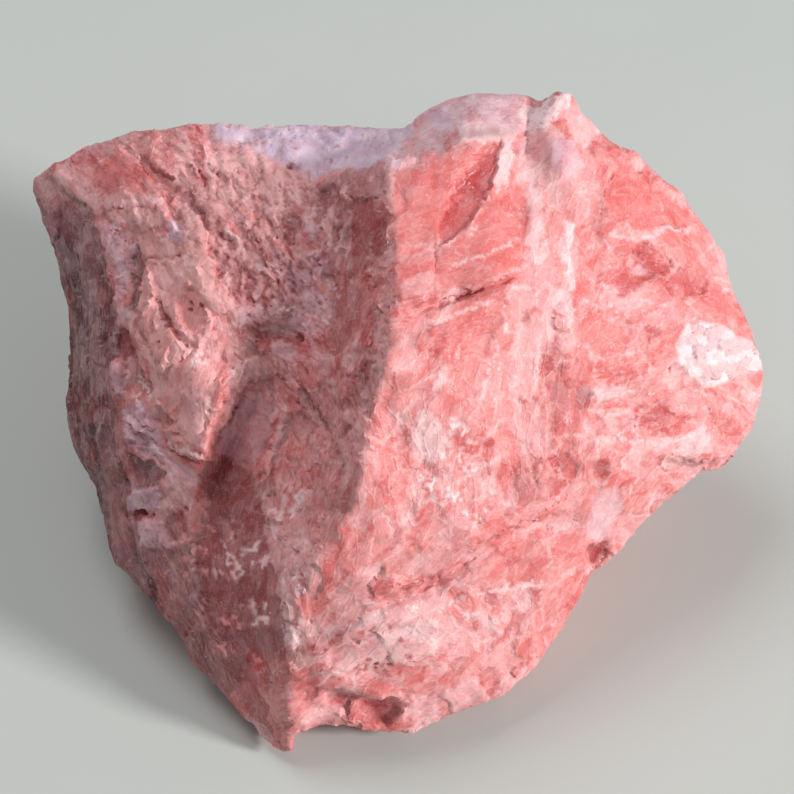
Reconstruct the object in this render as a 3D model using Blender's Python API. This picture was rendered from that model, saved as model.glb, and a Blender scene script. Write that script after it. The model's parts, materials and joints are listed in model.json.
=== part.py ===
"""A hand-sized piece of rough rhodochrosite: one natural stone, resting on its flattest side.

Its front is a worn arris between a broad cleavage face and a folded, hollowed side. Units in the
tables are millimetres; the mesh is in metres, +Z up, with the origin under the middle of its box.
"""

import math

import bmesh
import bpy
import numpy as np
from mathutils import Vector, noise
from mathutils.geometry import delaunay_2d_cdt

NAME = "rhodochrosite_stone"
MM = 0.001

# The front is plotted on a frame that leans back and faces an eye. A landmark is (across, down,
# out): from the frame's left edge, from its top edge, and out of its plane towards the eye.
# Lines of sight meet at the eye, so a landmark that stands out is set a little closer in.
FRAME_MIDDLE = 39.7
FRAME_HEIGHT = 21.5
FRAME_RISE = math.radians(50.0)
EYE_DISTANCE = 263.0

# Spacing of the mesh's corners, how far a corner is shaken and how close it may come to a line.
FRONT_SPACING = 1.3
BACK_SPACING = 2.5
SHAKE, LEAST_GAP = 0.24, 0.62
FRONT_ROUNDS, BACK_ROUNDS = 5, 2
SMALLEST_EDGE = 0.06
TOUCHING, ON_CREASE, MERGE_GAP = 0.001, 0.05, 0.002

# The quarter-round inside the girth, as (height, width), and the noise that varies it.
FRONT_ROUNDING = (3.2, 3.8)
BACK_ROUNDING = (6.0, 4.5)
ROUNDING_PITCH, ROUNDING_GAIN, ROUNDING_LOSS = 0.11, 0.9, 0.8
# Rings of corners on the hidden side: (how far inside the girth, every how many corners).
BACK_RINGS = [(0.4, 1), (1.3, 2)]
LEAST_RING_GAP = 0.2

# The widest line round the stone, clockwise from the nose at its upper left.
GIRTH = [
    (3.3, 18.0, -7.0), (4.1, 17.1, -6.6), (5.1, 16.5, -6.0), (7.6, 15.3, -5.0),
    (10.1, 14.2, -4.0), (13.0, 13.2, -3.2), (16.2, 12.7, -2.5), (20.5, 12.2, -2.0),
    (22.6, 12.3, -2.0), (25.3, 12.7, -2.0), (30.5, 12.5, -1.6), (36.0, 12.7, -0.8),
    (40.5, 12.8, 0.0), (42.0, 11.4, 1.0), (44.6, 9.9, 1.5), (47.6, 9.2, 2.0),
    (52.7, 9.5, 2.0), (53.9, 10.1, 2.5), (55.7, 9.2, 3.5), (57.2, 9.4, 3.0),
    (58.2, 11.4, 2.0), (60.2, 13.2, 1.0), (60.9, 14.0, 0.7), (63.8, 15.2, -0.5),
    (65.8, 17.5, -1.5), (68.3, 19.2, -2.4), (69.1, 20.5, -3.0), (70.6, 22.6, -3.6),
    (72.4, 25.3, -4.5), (72.9, 28.4, -5.0), (74.9, 32.4, -5.5), (75.9, 35.4, -6.0),
    (76.2, 37.5, -6.0), (75.8, 40.2, -5.8), (75.4, 42.0, -5.5), (73.6, 44.6, -4.8),
    (72.9, 46.1, -4.5), (71.9, 47.1, -4.5), (69.9, 47.3, -4.0), (67.8, 48.9, -3.5),
    (65.3, 51.1, -3.0), (62.0, 55.2, -2.0), (60.6, 56.2, -1.2), (59.2, 57.0, -0.5),
    (58.2, 59.2, 0.0), (56.2, 62.8, 0.5), (53.7, 66.3, 1.5), (52.3, 68.1, 2.0),
    (50.1, 69.9, 2.5), (45.6, 71.1, 3.0), (43.2, 72.3, 3.3), (40.5, 73.2, 3.5),
    (36.5, 73.1, 4.0), (32.4, 72.4, 4.5), (30.6, 73.2, 5.0), (29.4, 73.6, 4.6),
    (29.1, 75.1, 4.0), (27.6, 74.7, 3.5), (25.3, 72.4, 2.5), (22.3, 69.4, 1.0),
    (19.2, 66.3, -0.5), (17.4, 63.0, -1.5), (15.2, 60.3, -2.5), (12.9, 57.7, -4.0),
    (11.4, 56.2, -4.6), (10.9, 54.7, -5.0), (9.6, 48.6, -7.0), (7.6, 45.6, -7.5),
    (6.6, 41.5, -8.5), (6.7, 38.2, -8.8), (7.1, 35.4, -9.0), (6.6, 29.9, -9.0),
    (5.6, 25.6, -8.6), (4.6, 22.8, -8.0), (3.3, 19.2, -7.0),
]

# Edges and valleys that stay crisp.
CREASES = {
    "main arris": [
        (39.0, 15.7, 10.0), (39.4, 20.0, 12.0), (39.5, 25.0, 14.0), (39.7, 30.0, 16.0),
        (39.2, 34.0, 17.0), (37.8, 38.5, 17.5), (36.4, 44.0, 17.0), (34.9, 51.0, 15.8),
        (31.8, 55.6, 14.4), (29.6, 62.0, 12.0), (28.9, 69.0, 8.0), (29.0, 74.0, 4.9),
    ],
    "side arris": [
        (5.6, 17.2, -4.6), (8.0, 19.3, -1.9), (10.5, 22.0, 0.0), (11.3, 26.0, 1.2),
        (11.5, 30.0, 1.6), (11.2, 35.0, 1.4), (11.1, 40.0, 1.0), (12.2, 45.0, 1.0),
        (13.5, 50.0, 1.2), (14.6, 55.0, 1.0), (16.2, 60.0, 0.9),
    ],
    "hollow's near rim": [
        (31.6, 18.3, 5.8), (34.5, 17.0, 7.5), (36.5, 16.8, 8.5), (38.3, 15.6, 9.4),
    ],
    "hollow's foot": [
        (31.0, 17.3, 2.6), (34.3, 16.3, 2.4), (36.3, 16.0, 2.6), (37.9, 14.9, 3.2),
        (39.3, 14.4, 3.8),
    ],
    "face's upper rim": [
        (39.9, 15.7, 10.0), (44.0, 15.5, 10.0), (46.0, 14.1, 9.2), (49.8, 13.7, 8.2),
        (51.2, 13.9, 7.6),
    ],
    "crest's foot": [
        (41.2, 14.6, 5.6), (44.4, 14.1, 6.0), (46.6, 13.0, 6.0), (50.2, 12.6, 5.6),
    ],
    "valley beside the arris": [
        (33.4, 19.4, 6.6), (33.8, 25.0, 8.8), (33.0, 30.0, 9.6), (32.2, 35.0, 10.0),
        (33.2, 40.0, 11.2), (34.1, 46.0, 12.6), (33.0, 51.0, 12.6), (30.6, 54.8, 12.2),
    ],
    "gully on the crest": [
        (53.0, 11.6, 3.6), (52.6, 14.5, 5.2), (53.0, 17.6, 7.2),
    ],
    "white ridge": [
        (55.6, 10.0, 4.6), (54.2, 12.2, 5.6), (54.6, 15.0, 7.2),
    ],
}

# Other places on the front, by the form that they belong to.
FORMS = {
    "top, left": [
        (10.1, 15.2, -2.8), (15.0, 14.2, -1.2), (20.5, 13.4, -0.6), (26.0, 13.8, 0.4),
        (13.0, 19.0, 1.2), (13.0, 16.6, 0.2), (20.0, 17.0, 2.2), (20.0, 21.0, 4.0),
        (26.0, 17.0, 3.0), (26.0, 21.0, 5.2), (29.5, 19.5, 5.4),
    ],
    "hollow on top": [
        (29.0, 15.0, 1.4), (33.0, 14.2, 1.0), (37.0, 13.9, 1.6), (40.2, 13.6, 2.4),
    ],
    "crest": [
        (42.7, 12.3, 3.4), (45.2, 11.6, 4.2), (48.5, 10.6, 4.4), (51.6, 11.2, 4.0),
        (49.5, 11.8, 5.0), (57.4, 12.0, 4.6), (58.0, 15.0, 6.2),
    ],
    "flaky slope": [
        (17.0, 26.0, 4.6), (23.0, 26.0, 6.4), (29.0, 26.0, 7.8), (25.0, 31.0, 8.0),
        (30.0, 31.5, 8.6), (12.6, 23.6, 1.8),
    ],
    "folded lump": [
        (15.0, 30.0, 4.6), (20.0, 30.0, 8.0), (13.6, 35.0, 3.2), (16.2, 35.0, 6.8),
        (19.6, 35.0, 9.6), (23.6, 35.0, 8.4), (15.2, 40.0, 4.8), (19.0, 40.0, 9.8),
        (21.8, 39.6, 9.0), (17.0, 44.0, 6.2), (19.6, 44.4, 8.6), (13.2, 45.0, 2.4),
    ],
    "central hollow": [
        (27.0, 35.4, 6.8), (29.8, 35.0, 7.2), (24.6, 40.6, 6.0), (27.6, 43.0, 6.8),
        (30.2, 40.6, 7.8), (23.0, 46.4, 5.6), (26.6, 48.0, 6.4), (30.0, 47.0, 8.6),
    ],
    "front, left": [
        (15.6, 50.4, 3.4), (19.4, 50.0, 5.4), (23.0, 52.0, 5.8), (27.2, 52.0, 7.8),
        (17.0, 56.4, 4.0), (22.0, 57.0, 6.2), (26.6, 57.0, 9.0), (18.8, 61.4, 3.4),
        (22.4, 62.4, 5.4), (26.4, 63.0, 8.8), (20.6, 65.6, 2.8), (23.8, 67.4, 4.6),
        (26.6, 69.0, 6.2), (25.0, 70.6, 3.8), (27.4, 72.4, 4.8), (13.4, 55.4, -0.6),
    ],
    "broad face, upper": [
        (44.0, 21.0, 12.4), (50.5, 19.4, 9.8), (56.0, 20.0, 8.8), (60.6, 19.0, 6.0),
        (65.0, 20.4, 3.2), (68.6, 23.6, 1.2), (63.6, 16.4, 1.8), (46.0, 27.0, 14.0),
        (53.0, 26.0, 11.0), (58.6, 26.6, 8.6), (65.0, 27.0, 4.4), (70.6, 28.4, -0.6),
    ],
    "broad face, middle": [
        (43.0, 34.0, 16.0), (48.0, 33.4, 13.6), (54.0, 33.0, 11.0), (60.0, 33.0, 8.2),
        (66.0, 33.0, 4.6), (71.0, 34.0, 0.6), (43.0, 41.0, 15.4), (49.0, 41.0, 12.8),
        (55.0, 41.0, 10.2), (61.0, 41.0, 7.4), (67.0, 41.0, 4.0), (72.4, 40.6, -0.8),
        (74.6, 37.0, -3.4),
    ],
    "broad face, lower": [
        (41.0, 48.0, 15.2), (47.0, 48.0, 12.6), (53.0, 48.0, 10.0), (59.0, 47.6, 7.4),
        (65.0, 46.6, 4.0), (70.4, 45.0, 0.6), (38.0, 55.0, 14.0), (44.0, 55.0, 11.8),
        (50.0, 55.0, 9.0), (56.0, 54.0, 5.8), (61.0, 51.4, 3.6), (34.4, 61.0, 12.0),
        (41.0, 61.0, 10.2), (47.4, 61.4, 8.2), (53.0, 61.0, 4.8), (32.6, 66.4, 9.2),
        (38.6, 67.0, 8.4), (45.0, 67.0, 6.8), (50.0, 66.6, 4.4), (31.6, 70.6, 6.2),
        (40.0, 71.4, 5.2), (45.4, 69.6, 4.8), (35.0, 71.4, 4.8),
    ],
}

# The hidden side, as (x, y, z) over the frame's foot. What lies under the floor is cut away.
BACK = [
    (-31.5, 21.0, 22.0), (-20.0, 25.5, 27.0), (-7.0, 24.5, 29.0), (8.0, 27.0, 31.0),
    (19.0, 24.0, 29.0), (31.0, 15.0, 22.0), (-31.0, 15.0, 12.0), (-21.0, 24.5, 13.0),
    (-6.0, 24.0, 14.0), (5.0, 28.0, 16.0), (18.0, 23.0, 12.0), (33.5, 9.0, 12.0),
    (-28.5, 9.0, 4.5), (-19.0, 20.0, 3.0), (-4.0, 21.5, 2.0), (8.0, 23.5, 2.5),
    (18.0, 17.0, 2.5), (26.5, 2.0, 4.0), (-25.0, 0.0, -2.0), (-19.0, -11.0, -2.5),
    (-10.0, -20.0, -2.0), (2.0, -21.0, -2.0), (12.0, -15.0, -2.5), (16.5, -6.0, -3.0),
    (20.0, 6.0, -2.0), (-16.0, 12.0, -4.0), (2.0, 14.0, -4.0), (0.0, 0.0, -7.0), (-9.0, -11.0, -6.0),
]

# Ledges: (height, reach, line). The ground on the line's left hand stands proud by the height,
# which dies away over the reach.
LEDGES = {
    "top ledge": (1.0, 7.0, [(18.5, 23.0), (17.3, 20.7), (16.3, 19.3), (14.6, 16.5), (13.4, 14.4)]),
    "face ledge": (0.8, 9.0, [(39.9, 31.0), (43.0, 30.3), (46.0, 29.5), (49.5, 28.2), (53.0, 26.8)]),
    "low ledge": (0.9, 7.0, [(37.6, 60.0), (41.0, 58.9), (44.2, 57.6), (47.5, 55.0), (50.5, 53.0),
                             (57.3, 50.8)]),
    "foot ledge": (0.6, 4.0, [(30.5, 65.8), (34.0, 64.6), (38.0, 62.8), (43.0, 62.0)]),
    "toe ledge": (0.6, 3.0, [(31.5, 68.3), (35.0, 67.0), (40.0, 66.6), (45.0, 65.0)]),
    "brow": (1.3, 2.5, [(31.8, 70.2), (33.4, 68.9), (36.4, 69.9), (40.2, 70.2)]),
    "flaky edge": (0.7, 8.0, [(24.6, 31.6), (22.4, 29.6), (21.4, 27.2), (20.6, 24.6), (20.3, 21.6)]),
    "lump's first leaf": (1.0, 5.0, [(14.8, 26.4), (13.7, 29.4), (14.1, 32.6), (15.5, 35.8),
                                     (16.6, 38.0)]),
    "lump's second leaf": (0.9, 4.0, [(13.4, 26.0), (12.7, 30.0), (13.1, 33.6), (14.6, 37.0)]),
    "lump's fold": (1.9, 5.0, [(20.1, 46.6), (20.8, 44.0), (22.2, 40.4), (23.4, 36.6)]),
    "right overhang": (1.0, 4.0, [(65.6, 45.6), (69.5, 46.6), (72.6, 45.6)]),
    "shoulder facet": (0.5, 6.0, [(61.6, 17.2), (60.8, 19.8), (63.4, 22.6), (67.6, 22.4)]),
}

# Cracks: (half width, depth, line).
CRACKS = {
    "face crack": (0.35, 0.9, [(40.3, 31.2), (43.0, 30.6), (46.2, 29.6), (49.5, 28.4), (53.0, 27.0)]),
    "upright crack": (0.3, 0.6, [(43.6, 24.0), (43.4, 27.0), (43.2, 29.4)]),
    "shoulder crack": (0.35, 0.9, [(61.5, 17.4), (60.7, 19.6)]),
    "low crack": (0.35, 0.6, [(38.0, 60.2), (44.2, 57.9), (47.6, 55.3), (50.6, 53.3), (57.0, 51.1)]),
    "arris notch": (0.6, 1.2, [(39.6, 18.8), (40.3, 20.4), (39.8, 21.8)]),
    "first fold": (0.35, 0.9, [(15.8, 42.6), (17.6, 44.6), (20.0, 46.0)]),
    "second fold": (0.35, 0.7, [(15.0, 43.6), (16.8, 45.8), (19.4, 47.2)]),
    "side seam": (0.45, 0.9, [(12.1, 31.0), (12.6, 34.2), (13.9, 37.4)]),
    "hollow's fold": (0.6, 0.9, [(28.6, 36.6), (30.8, 40.4), (33.0, 43.6), (33.9, 46.6)]),
    "rib's foot": (0.5, 0.7, [(26.4, 38.6), (24.6, 42.4), (22.4, 46.6), (20.9, 51.0)]),
}

LEDGE_HALF_WIDTH = 0.2
TAPER = 2.2
RELIEF_FADE = 1.2

# Hollows (negative) and lumps: (height, across, down, half length, half width, turn in degrees).
SWELLS = {
    "conchoidal hollow": (-0.9, 64.3, 26.8, 2.9, 1.7, 25.0),
    "second conchoidal hollow": (-0.7, 68.8, 28.2, 3.2, 1.5, 5.0),
    "long cleavage facet": (-0.7, 47.0, 18.6, 5.4, 1.6, 62.0),
    "pit on the face crack": (-1.0, 46.5, 29.3, 0.8, 0.6, 0.0),
    "pit in the hollow": (-1.2, 29.7, 34.3, 0.8, 0.7, 0.0),
    "pit at the side": (-1.7, 14.3, 51.3, 1.3, 0.8, 15.0),
    "pit on the low crack": (-0.9, 45.5, 60.0, 0.9, 0.6, 0.0),
    "red slot": (-0.6, 42.2, 39.5, 1.5, 0.6, 20.0),
    "recess at the right": (-1.8, 60.0, 55.4, 1.7, 1.2, 50.0),
    "recess under the brow": (-1.5, 36.6, 71.2, 3.6, 1.3, -5.0),
    "flake in the recess": (0.9, 35.6, 71.6, 1.2, 0.9, 0.0),
    "pale rib": (1.4, 25.6, 45.4, 6.0, 1.2, 115.0),
    "side nub": (0.9, 14.0, 48.9, 1.5, 1.3, 0.0),
    "narrow rib": (0.8, 11.6, 37.6, 2.6, 0.9, 85.0),
    "blunt block": (0.8, 36.0, 63.0, 3.0, 1.6, 20.0),
    "red hollow": (-0.9, 25.2, 66.0, 2.6, 1.2, 60.0),
    "calcite crust": (0.5, 71.4, 35.4, 4.2, 3.1, 20.0),
    "upper knob": (0.7, 56.6, 15.8, 2.0, 1.6, 60.0),
}

# The front's rough relief: lumps, finer lumps and broken blocks. A pitch is in waves to a millimetre.
ROUGHNESS = 0.34
LUMP_PITCH, FINER_LUMPS = 0.30, 2.7
LUMP_SHARE, FINE_SHARE, BLOCK_SHARE = 0.7, 0.35, 0.5
BLOCK_ACROSS, BLOCK_DOWN = (0.42, 0.16), (-0.1, 0.36)
GIRTH_ROUGHNESS = 0.16

# Flutes down the steep side, which ends at a line across, and flakes over an oval of the slope.
STRIATION = 0.45
STEEP_END, STEEP_FADE = 12.0, 2.5
FLUTE_PITCH, FLUTE_RUN = 0.9, 0.09
SLOPE_MIDDLE, SLOPE_REACH = (27.0, 25.0), (7.0, 7.5)
FLAKE_STRENGTH, FLAKE_PITCH, FLAKE_RUN = 1.7, 0.62, 0.12

# The hidden side's flat faces: how flat and rough they are, and how ragged their limits.
BACK_FLATNESS = 0.8
BACK_ROUGHNESS, BACK_PITCH = 0.5, 0.3
BACK_FINE_PITCH, BACK_FINE_SHARE = 0.8, 0.4
LIMIT_SHAKE, LIMIT_PITCH = 2.5, 0.16
GIRTH_CLEARANCE = 3.5

SEEDS = {"rounding": 4.2, "front": 1.7, "flutes": 3.1, "flakes": 8.4, "front mesh": 5, "back mesh": 9}


def place(across, down, out):
    """A landmark of the plotting frame, in millimetres over the floor."""
    spread = (EYE_DISTANCE - out) / EYE_DISTANCE
    side, rise = (across - FRAME_MIDDLE) * spread, (FRAME_MIDDLE - down) * spread
    back = rise * math.sin(FRAME_RISE) - out * math.cos(FRAME_RISE)
    height = FRAME_HEIGHT + rise * math.cos(FRAME_RISE) + out * math.sin(FRAME_RISE)
    return Vector((side, back, height))


def plot(x, y, z):
    """The frame's (across, down, out) of a point, the inverse of place."""
    high = z - FRAME_HEIGHT
    out = high * math.sin(FRAME_RISE) - y * math.cos(FRAME_RISE)
    rise = y * math.sin(FRAME_RISE) + high * math.cos(FRAME_RISE)
    spread = (EYE_DISTANCE - out) / EYE_DISTANCE
    return FRAME_MIDDLE + x / spread, FRAME_MIDDLE - rise / spread, out


def walk(line, spacing, closed=False):
    """The line's points, with more put in so that none is further than the spacing from the next."""
    found = []
    ends = line[1:] + line[:1] if closed else line[1:]
    for start, end in zip(line, ends):
        start, end = np.array(start, float), np.array(end, float)
        steps = max(1, math.ceil(np.linalg.norm((end - start)[:2]) / spacing))
        found += [start + (end - start) * step / steps for step in range(steps)]
    return np.array(found if closed else [*found, np.array(line[-1], float)])


def nearest(points, line):
    """How far each point is from the line, on which hand (positive is its left) and how far along."""
    best, hand = np.full(len(points), np.inf), np.zeros(len(points))
    along, walked = np.zeros(len(points)), 0.0
    for start, end in zip(np.array(line)[:-1, :2], np.array(line)[1:, :2]):
        leg = end - start
        part = np.clip((points - start) @ leg / (leg @ leg), 0.0, 1.0)
        gap = points - start - part[:, None] * leg
        far = np.linalg.norm(gap, axis=1)
        turn = gap[:, 0] * leg[1] - gap[:, 1] * leg[0]
        closer = far < best
        best[closer], hand[closer] = far[closer], np.sign(turn[closer])
        along[closer] = walked + part[closer] * np.linalg.norm(leg)
        walked += np.linalg.norm(leg)
    return best, hand, along


def tapered(line, along):
    """One along most of the line, falling to nothing at both ends."""
    whole = np.linalg.norm(np.diff(np.array(line, float)[:, :2], axis=0), axis=1).sum()
    return np.clip(np.minimum(along, whole - along) / TAPER, 0.0, 1.0)


def inside(points, outline):
    """Whether each point lies in the closed outline."""
    found = np.zeros(len(points), bool)
    for (x0, y0), (x1, y1) in zip(outline, np.roll(outline, -1, axis=0)):
        crosses = (y0 > points[:, 1]) != (y1 > points[:, 1])
        if y0 != y1:
            at = x0 + (points[:, 1] - y0) * (x1 - x0) / (y1 - y0)
            found ^= crosses & (points[:, 0] < at)
    return found


def triangles(outline, lines, points):
    """Corners and triangles that fill the outline and keep every line as edges."""
    corners, edges = [], []
    for line, closed in [(outline, True), *((line, False) for line in lines)]:
        first, count = len(corners), len(line)
        corners += [tuple(point[:2]) for point in line]
        edges += [(first + i, first + i + 1) for i in range(count - 1)]
        edges += [(first + count - 1, first)] if closed else []
    corners += [tuple(point[:2]) for point in points]
    made = delaunay_2d_cdt([Vector(c) for c in corners], edges, [], 1, 1e-4)
    return np.array([v[:2] for v in made[0]]), np.array(made[2]), made[3]


def rounding(places, far, size):
    """The quarter-round that the surface gains inside the girth, fuller at some places than others."""
    height, width = size
    pitch, seed = ROUNDING_PITCH, SEEDS["rounding"]
    full = np.array([noise.noise(Vector((across * pitch, down * pitch, seed))) for across, down in places])
    height, width = height * (1.0 + ROUNDING_GAIN * full), width * (1.0 - ROUNDING_LOSS * full)
    return height * np.sqrt(1.0 - (1.0 - np.clip(far / width, 0.0, 1.0)) ** 2)


def coarse_surface(girth, lines, points, size):
    """A function that gives how far out the plain surface is at points of the frame."""
    given = np.array([*girth, *(p for line in lines for p in line), *points], float)
    corners, faces, sources = triangles(girth, lines, points)
    ring = [*girth, girth[0]]
    out = given[[source[0] for source in sources], 2]
    out = out - rounding(corners, nearest(corners, ring)[0], size)

    def surface(places):
        found = np.full(len(places), np.nan)
        best = np.full(len(places), -np.inf)
        for a, b, c in faces:
            base = np.array([corners[b] - corners[a], corners[c] - corners[a]])
            if abs(np.linalg.det(base)) < 1e-9:
                continue
            share = (places - corners[a]) @ np.linalg.inv(base)
            least = np.minimum(np.minimum(share[:, 0], share[:, 1]), 1.0 - share.sum(axis=1))
            better = least > best
            value = out[a] + share[:, 0] * (out[b] - out[a]) + share[:, 1] * (out[c] - out[a])
            best[better], found[better] = least[better], value[better]
        return found + rounding(places, nearest(places, ring)[0], size)

    return surface


def scattered(outline, taken, spacing, seed):
    """Points on a shaken triangular grid, clear of the outline and of the points taken."""
    shake = np.random.default_rng(seed)
    low, high = outline.min(axis=0), outline.max(axis=0)
    row = spacing * math.sin(math.radians(60.0))
    across, down = np.meshgrid(np.arange(low[0], high[0], spacing), np.arange(low[1], high[1], row))
    across[1::2] += spacing / 2
    grid = np.column_stack([across.ravel(), down.ravel()])
    grid += shake.uniform(-SHAKE, SHAKE, grid.shape) * spacing
    grid = grid[inside(grid, outline)]
    gaps = np.linalg.norm(grid[:, None] - taken[None], axis=2).min(axis=1)
    return grid[gaps > LEAST_GAP * spacing]


def beside(line, offset):
    """The line moved sideways by the offset, towards its left hand."""
    points = np.array(line, float)[:, :2]
    along = np.gradient(points, axis=0)
    along /= np.linalg.norm(along, axis=1, keepdims=True)
    return points + offset * np.column_stack([along[:, 1], -along[:, 0]])


def feature_lines():
    """The lines that the fine surface keeps as edges, for its ledges and cracks."""
    found = []
    for _, _, line in LEDGES.values():
        found += [beside(line, LEDGE_HALF_WIDTH), beside(line, -LEDGE_HALF_WIDTH)]
    for half, _, line in CRACKS.values():
        found += [beside(line, half), beside(line, 0.0), beside(line, -half)]
    return found


def ledges(points):
    raised = np.zeros(len(points))
    for height, reach, line in LEDGES.values():
        far, hand, along = nearest(points, line)
        proud = height * np.clip(1.0 - far / reach, 0.0, 1.0) * tapered(line, along)
        raised += np.where(hand > 0, proud, 0.0)
    return raised


def cracks(points):
    sunk = np.zeros(len(points))
    for half, depth, line in CRACKS.values():
        far, _, along = nearest(points, line)
        sunk = np.maximum(sunk, depth * np.clip(1.0 - far / half, 0.0, 1.0) * tapered(line, along))
    return -sunk


def swells(points):
    moved = np.zeros(len(points))
    for height, across, down, length, width, turn in SWELLS.values():
        cos, sin = math.cos(math.radians(turn)), math.sin(math.radians(turn))
        right, low = points[:, 0] - across, points[:, 1] - down
        far = np.hypot((right * cos - low * sin) / length, (right * sin + low * cos) / width)
        moved += height * np.clip(1.0 - far**2, 0.0, 1.0) ** 0.8
    return moved


def roughness(points):
    """Low, blocky relief: broken steps with a finer grain over them."""
    seed, found = SEEDS["front"], []
    for across, down in points:
        spot = Vector((across * LUMP_PITCH, down * LUMP_PITCH, seed))
        corner = [across * x + down * y for x, y in (BLOCK_ACROSS, BLOCK_DOWN)]
        lumps = LUMP_SHARE * noise.noise(spot) + FINE_SHARE * noise.noise(spot * FINER_LUMPS)
        found.append(lumps + BLOCK_SHARE * (noise.cell(Vector((*corner, seed))) - 0.5))
    return ROUGHNESS * np.array(found)


def striations(points):
    """Upright flutes down the steep side and slanting ones on the flaky slope."""
    side = np.clip((STEEP_END - points[:, 0]) / STEEP_FADE, 0.0, 1.0)
    slope = 1.0 - np.hypot(*((points - SLOPE_MIDDLE) / SLOPE_REACH).T)
    slope = np.clip(slope, 0.0, 1.0)
    found = []
    for (across, down), steep, flaky in zip(points, side, slope):
        flutes = noise.noise(Vector((across * FLUTE_PITCH, down * FLUTE_RUN, SEEDS["flutes"])))
        over, along = (across - down) * FLAKE_PITCH, (across + down) * FLAKE_RUN
        flakes = noise.noise(Vector((over, along, SEEDS["flakes"])))
        found.append(steep * flutes + FLAKE_STRENGTH * flaky * flakes)
    return STRIATION * np.array(found)


def smoothed(corners, faces, values, held, rounds):
    """The values with each free corner drawn halfway to the mean of its neighbours, round by round."""
    ends = np.concatenate([faces[:, [0, 1]], faces[:, [1, 2]], faces[:, [2, 0]]])
    ends = np.concatenate([ends, ends[:, ::-1]])
    count = np.bincount(ends[:, 0], minlength=len(corners))
    for _ in range(rounds):
        total = np.bincount(ends[:, 0], weights=values[ends[:, 1]], minlength=len(corners))
        values = np.where(held, values, (values + total / np.maximum(count, 1)) / 2)
    return values


def girth_line():
    """The girth with its fine points, shaken a little so that it reads as broken stone."""
    line = walk(GIRTH, FRONT_SPACING, closed=True)
    middle = line[:, :2].mean(axis=0)
    for point in line:
        away = (point[:2] - middle) / np.linalg.norm(point[:2] - middle)
        point[:2] += GIRTH_ROUGHNESS * noise.noise(Vector((point[0], point[1], 0.0))) * away
    return line


def front(girth):
    """Corners (across, down, out) and triangles of the plotted side."""
    lines = list(CREASES.values())
    surface = coarse_surface(GIRTH, lines, [p for form in FORMS.values() for p in form], FRONT_ROUNDING)
    kept = [walk([tuple(p[:2]) for p in line], FRONT_SPACING) for line in [*lines, *feature_lines()]]
    taken = np.concatenate([girth[:, :2], *kept])
    fill = scattered(girth[:, :2], taken, FRONT_SPACING, SEEDS["front mesh"])
    corners, faces, _ = triangles(girth, kept, fill)
    far = nearest(corners, [*girth, girth[0]])[0]
    held = far < TOUCHING
    for line in lines:
        held |= nearest(corners, line)[0] < ON_CREASE
    out = smoothed(corners, faces, surface(corners), held, FRONT_ROUNDS)
    fade = np.clip(far / RELIEF_FADE, 0.0, 1.0)
    relief = roughness(corners) + striations(corners) + swells(corners)
    out += fade * (relief + ledges(corners) + cracks(corners))
    return corners, out, faces


def rings(girth):
    """Points a little inside the girth, where the hidden side turns away fastest."""
    found = []
    along = np.roll(girth[:, :2], -1, axis=0) - np.roll(girth[:, :2], 1, axis=0)
    along /= np.linalg.norm(along, axis=1, keepdims=True)
    inward = np.column_stack([-along[:, 1], along[:, 0]])
    for inset, step in BACK_RINGS:
        found.append((girth[:, :2] + inset * inward)[::step])
    return np.concatenate(found)


def back(girth):
    """Corners and triangles of the hidden side, over the same girth."""
    hidden = [plot(*point) for point in BACK]
    surface = coarse_surface(GIRTH, [], hidden, (-BACK_ROUNDING[0], BACK_ROUNDING[1]))
    near = rings(girth)
    near = near[inside(near, girth[:, :2])]
    near = near[nearest(near, [*girth, girth[0]])[0] > LEAST_RING_GAP]
    taken = np.concatenate([near, girth[:, :2]])
    fill = scattered(girth[:, :2], taken, BACK_SPACING, SEEDS["back mesh"])
    corners, faces, _ = triangles(girth, [], np.concatenate([near, fill]))
    far = nearest(corners, [*girth, girth[0]])[0]
    return corners, smoothed(corners, faces, surface(corners), far < TOUCHING, BACK_ROUNDS), faces


def girth_out(girth, corners, out):
    """The hand-set depth for the corners that lie on the girth, and the given one elsewhere."""
    gaps = np.linalg.norm(corners[:, None] - girth[None, :, :2], axis=2)
    return np.where(gaps.min(axis=1) < TOUCHING, girth[gaps.argmin(axis=1), 2], out)


def add_skin(mesh, corners, out, faces, faces_eye):
    """Adds one side of the stone to the bmesh, with its faces turned away from the inside."""
    verts = [mesh.verts.new(place(c[0], c[1], o) * MM) for c, o in zip(corners, out)]
    for a, b, c in faces:
        across, down = corners[[a, b, c]].T
        turn = (across[1] - across[0]) * (down[2] - down[0]) - (across[2] - across[0]) * (down[1] - down[0])
        order = (a, c, b) if (turn > 0) == faces_eye else (a, b, c)
        mesh.faces.new([verts[i] for i in order])
    return verts


def break_back(verts, edge):
    """Breaks the hidden side into broad flat faces with low steps between them, clear of the girth."""
    for vert in verts:
        vert.normal_update()
    groups = [[] for _ in BACK]
    for vert in verts:
        spot = vert.co / MM
        shaken = spot + LIMIT_SHAKE * noise.noise_vector(spot * LIMIT_PITCH)
        groups[min(range(len(BACK)), key=lambda i: (shaken - Vector(BACK[i])).length)].append(vert)
    for group in filter(None, groups):
        middle = sum((vert.co for vert in group), Vector()) / len(group)
        outward = sum((vert.normal for vert in group), Vector()).normalized()
        for vert in group:
            spot = vert.co / MM
            away = min(1.0, min((spot - corner).length for corner in edge) / GIRTH_CLEARANCE)
            grain = noise.noise(spot * BACK_PITCH) + BACK_FINE_SHARE * noise.noise(spot * BACK_FINE_PITCH)
            flat = BACK_FLATNESS * outward.dot(middle - vert.co)
            vert.co += outward * away * (flat + BACK_ROUGHNESS * MM * grain)


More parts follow.
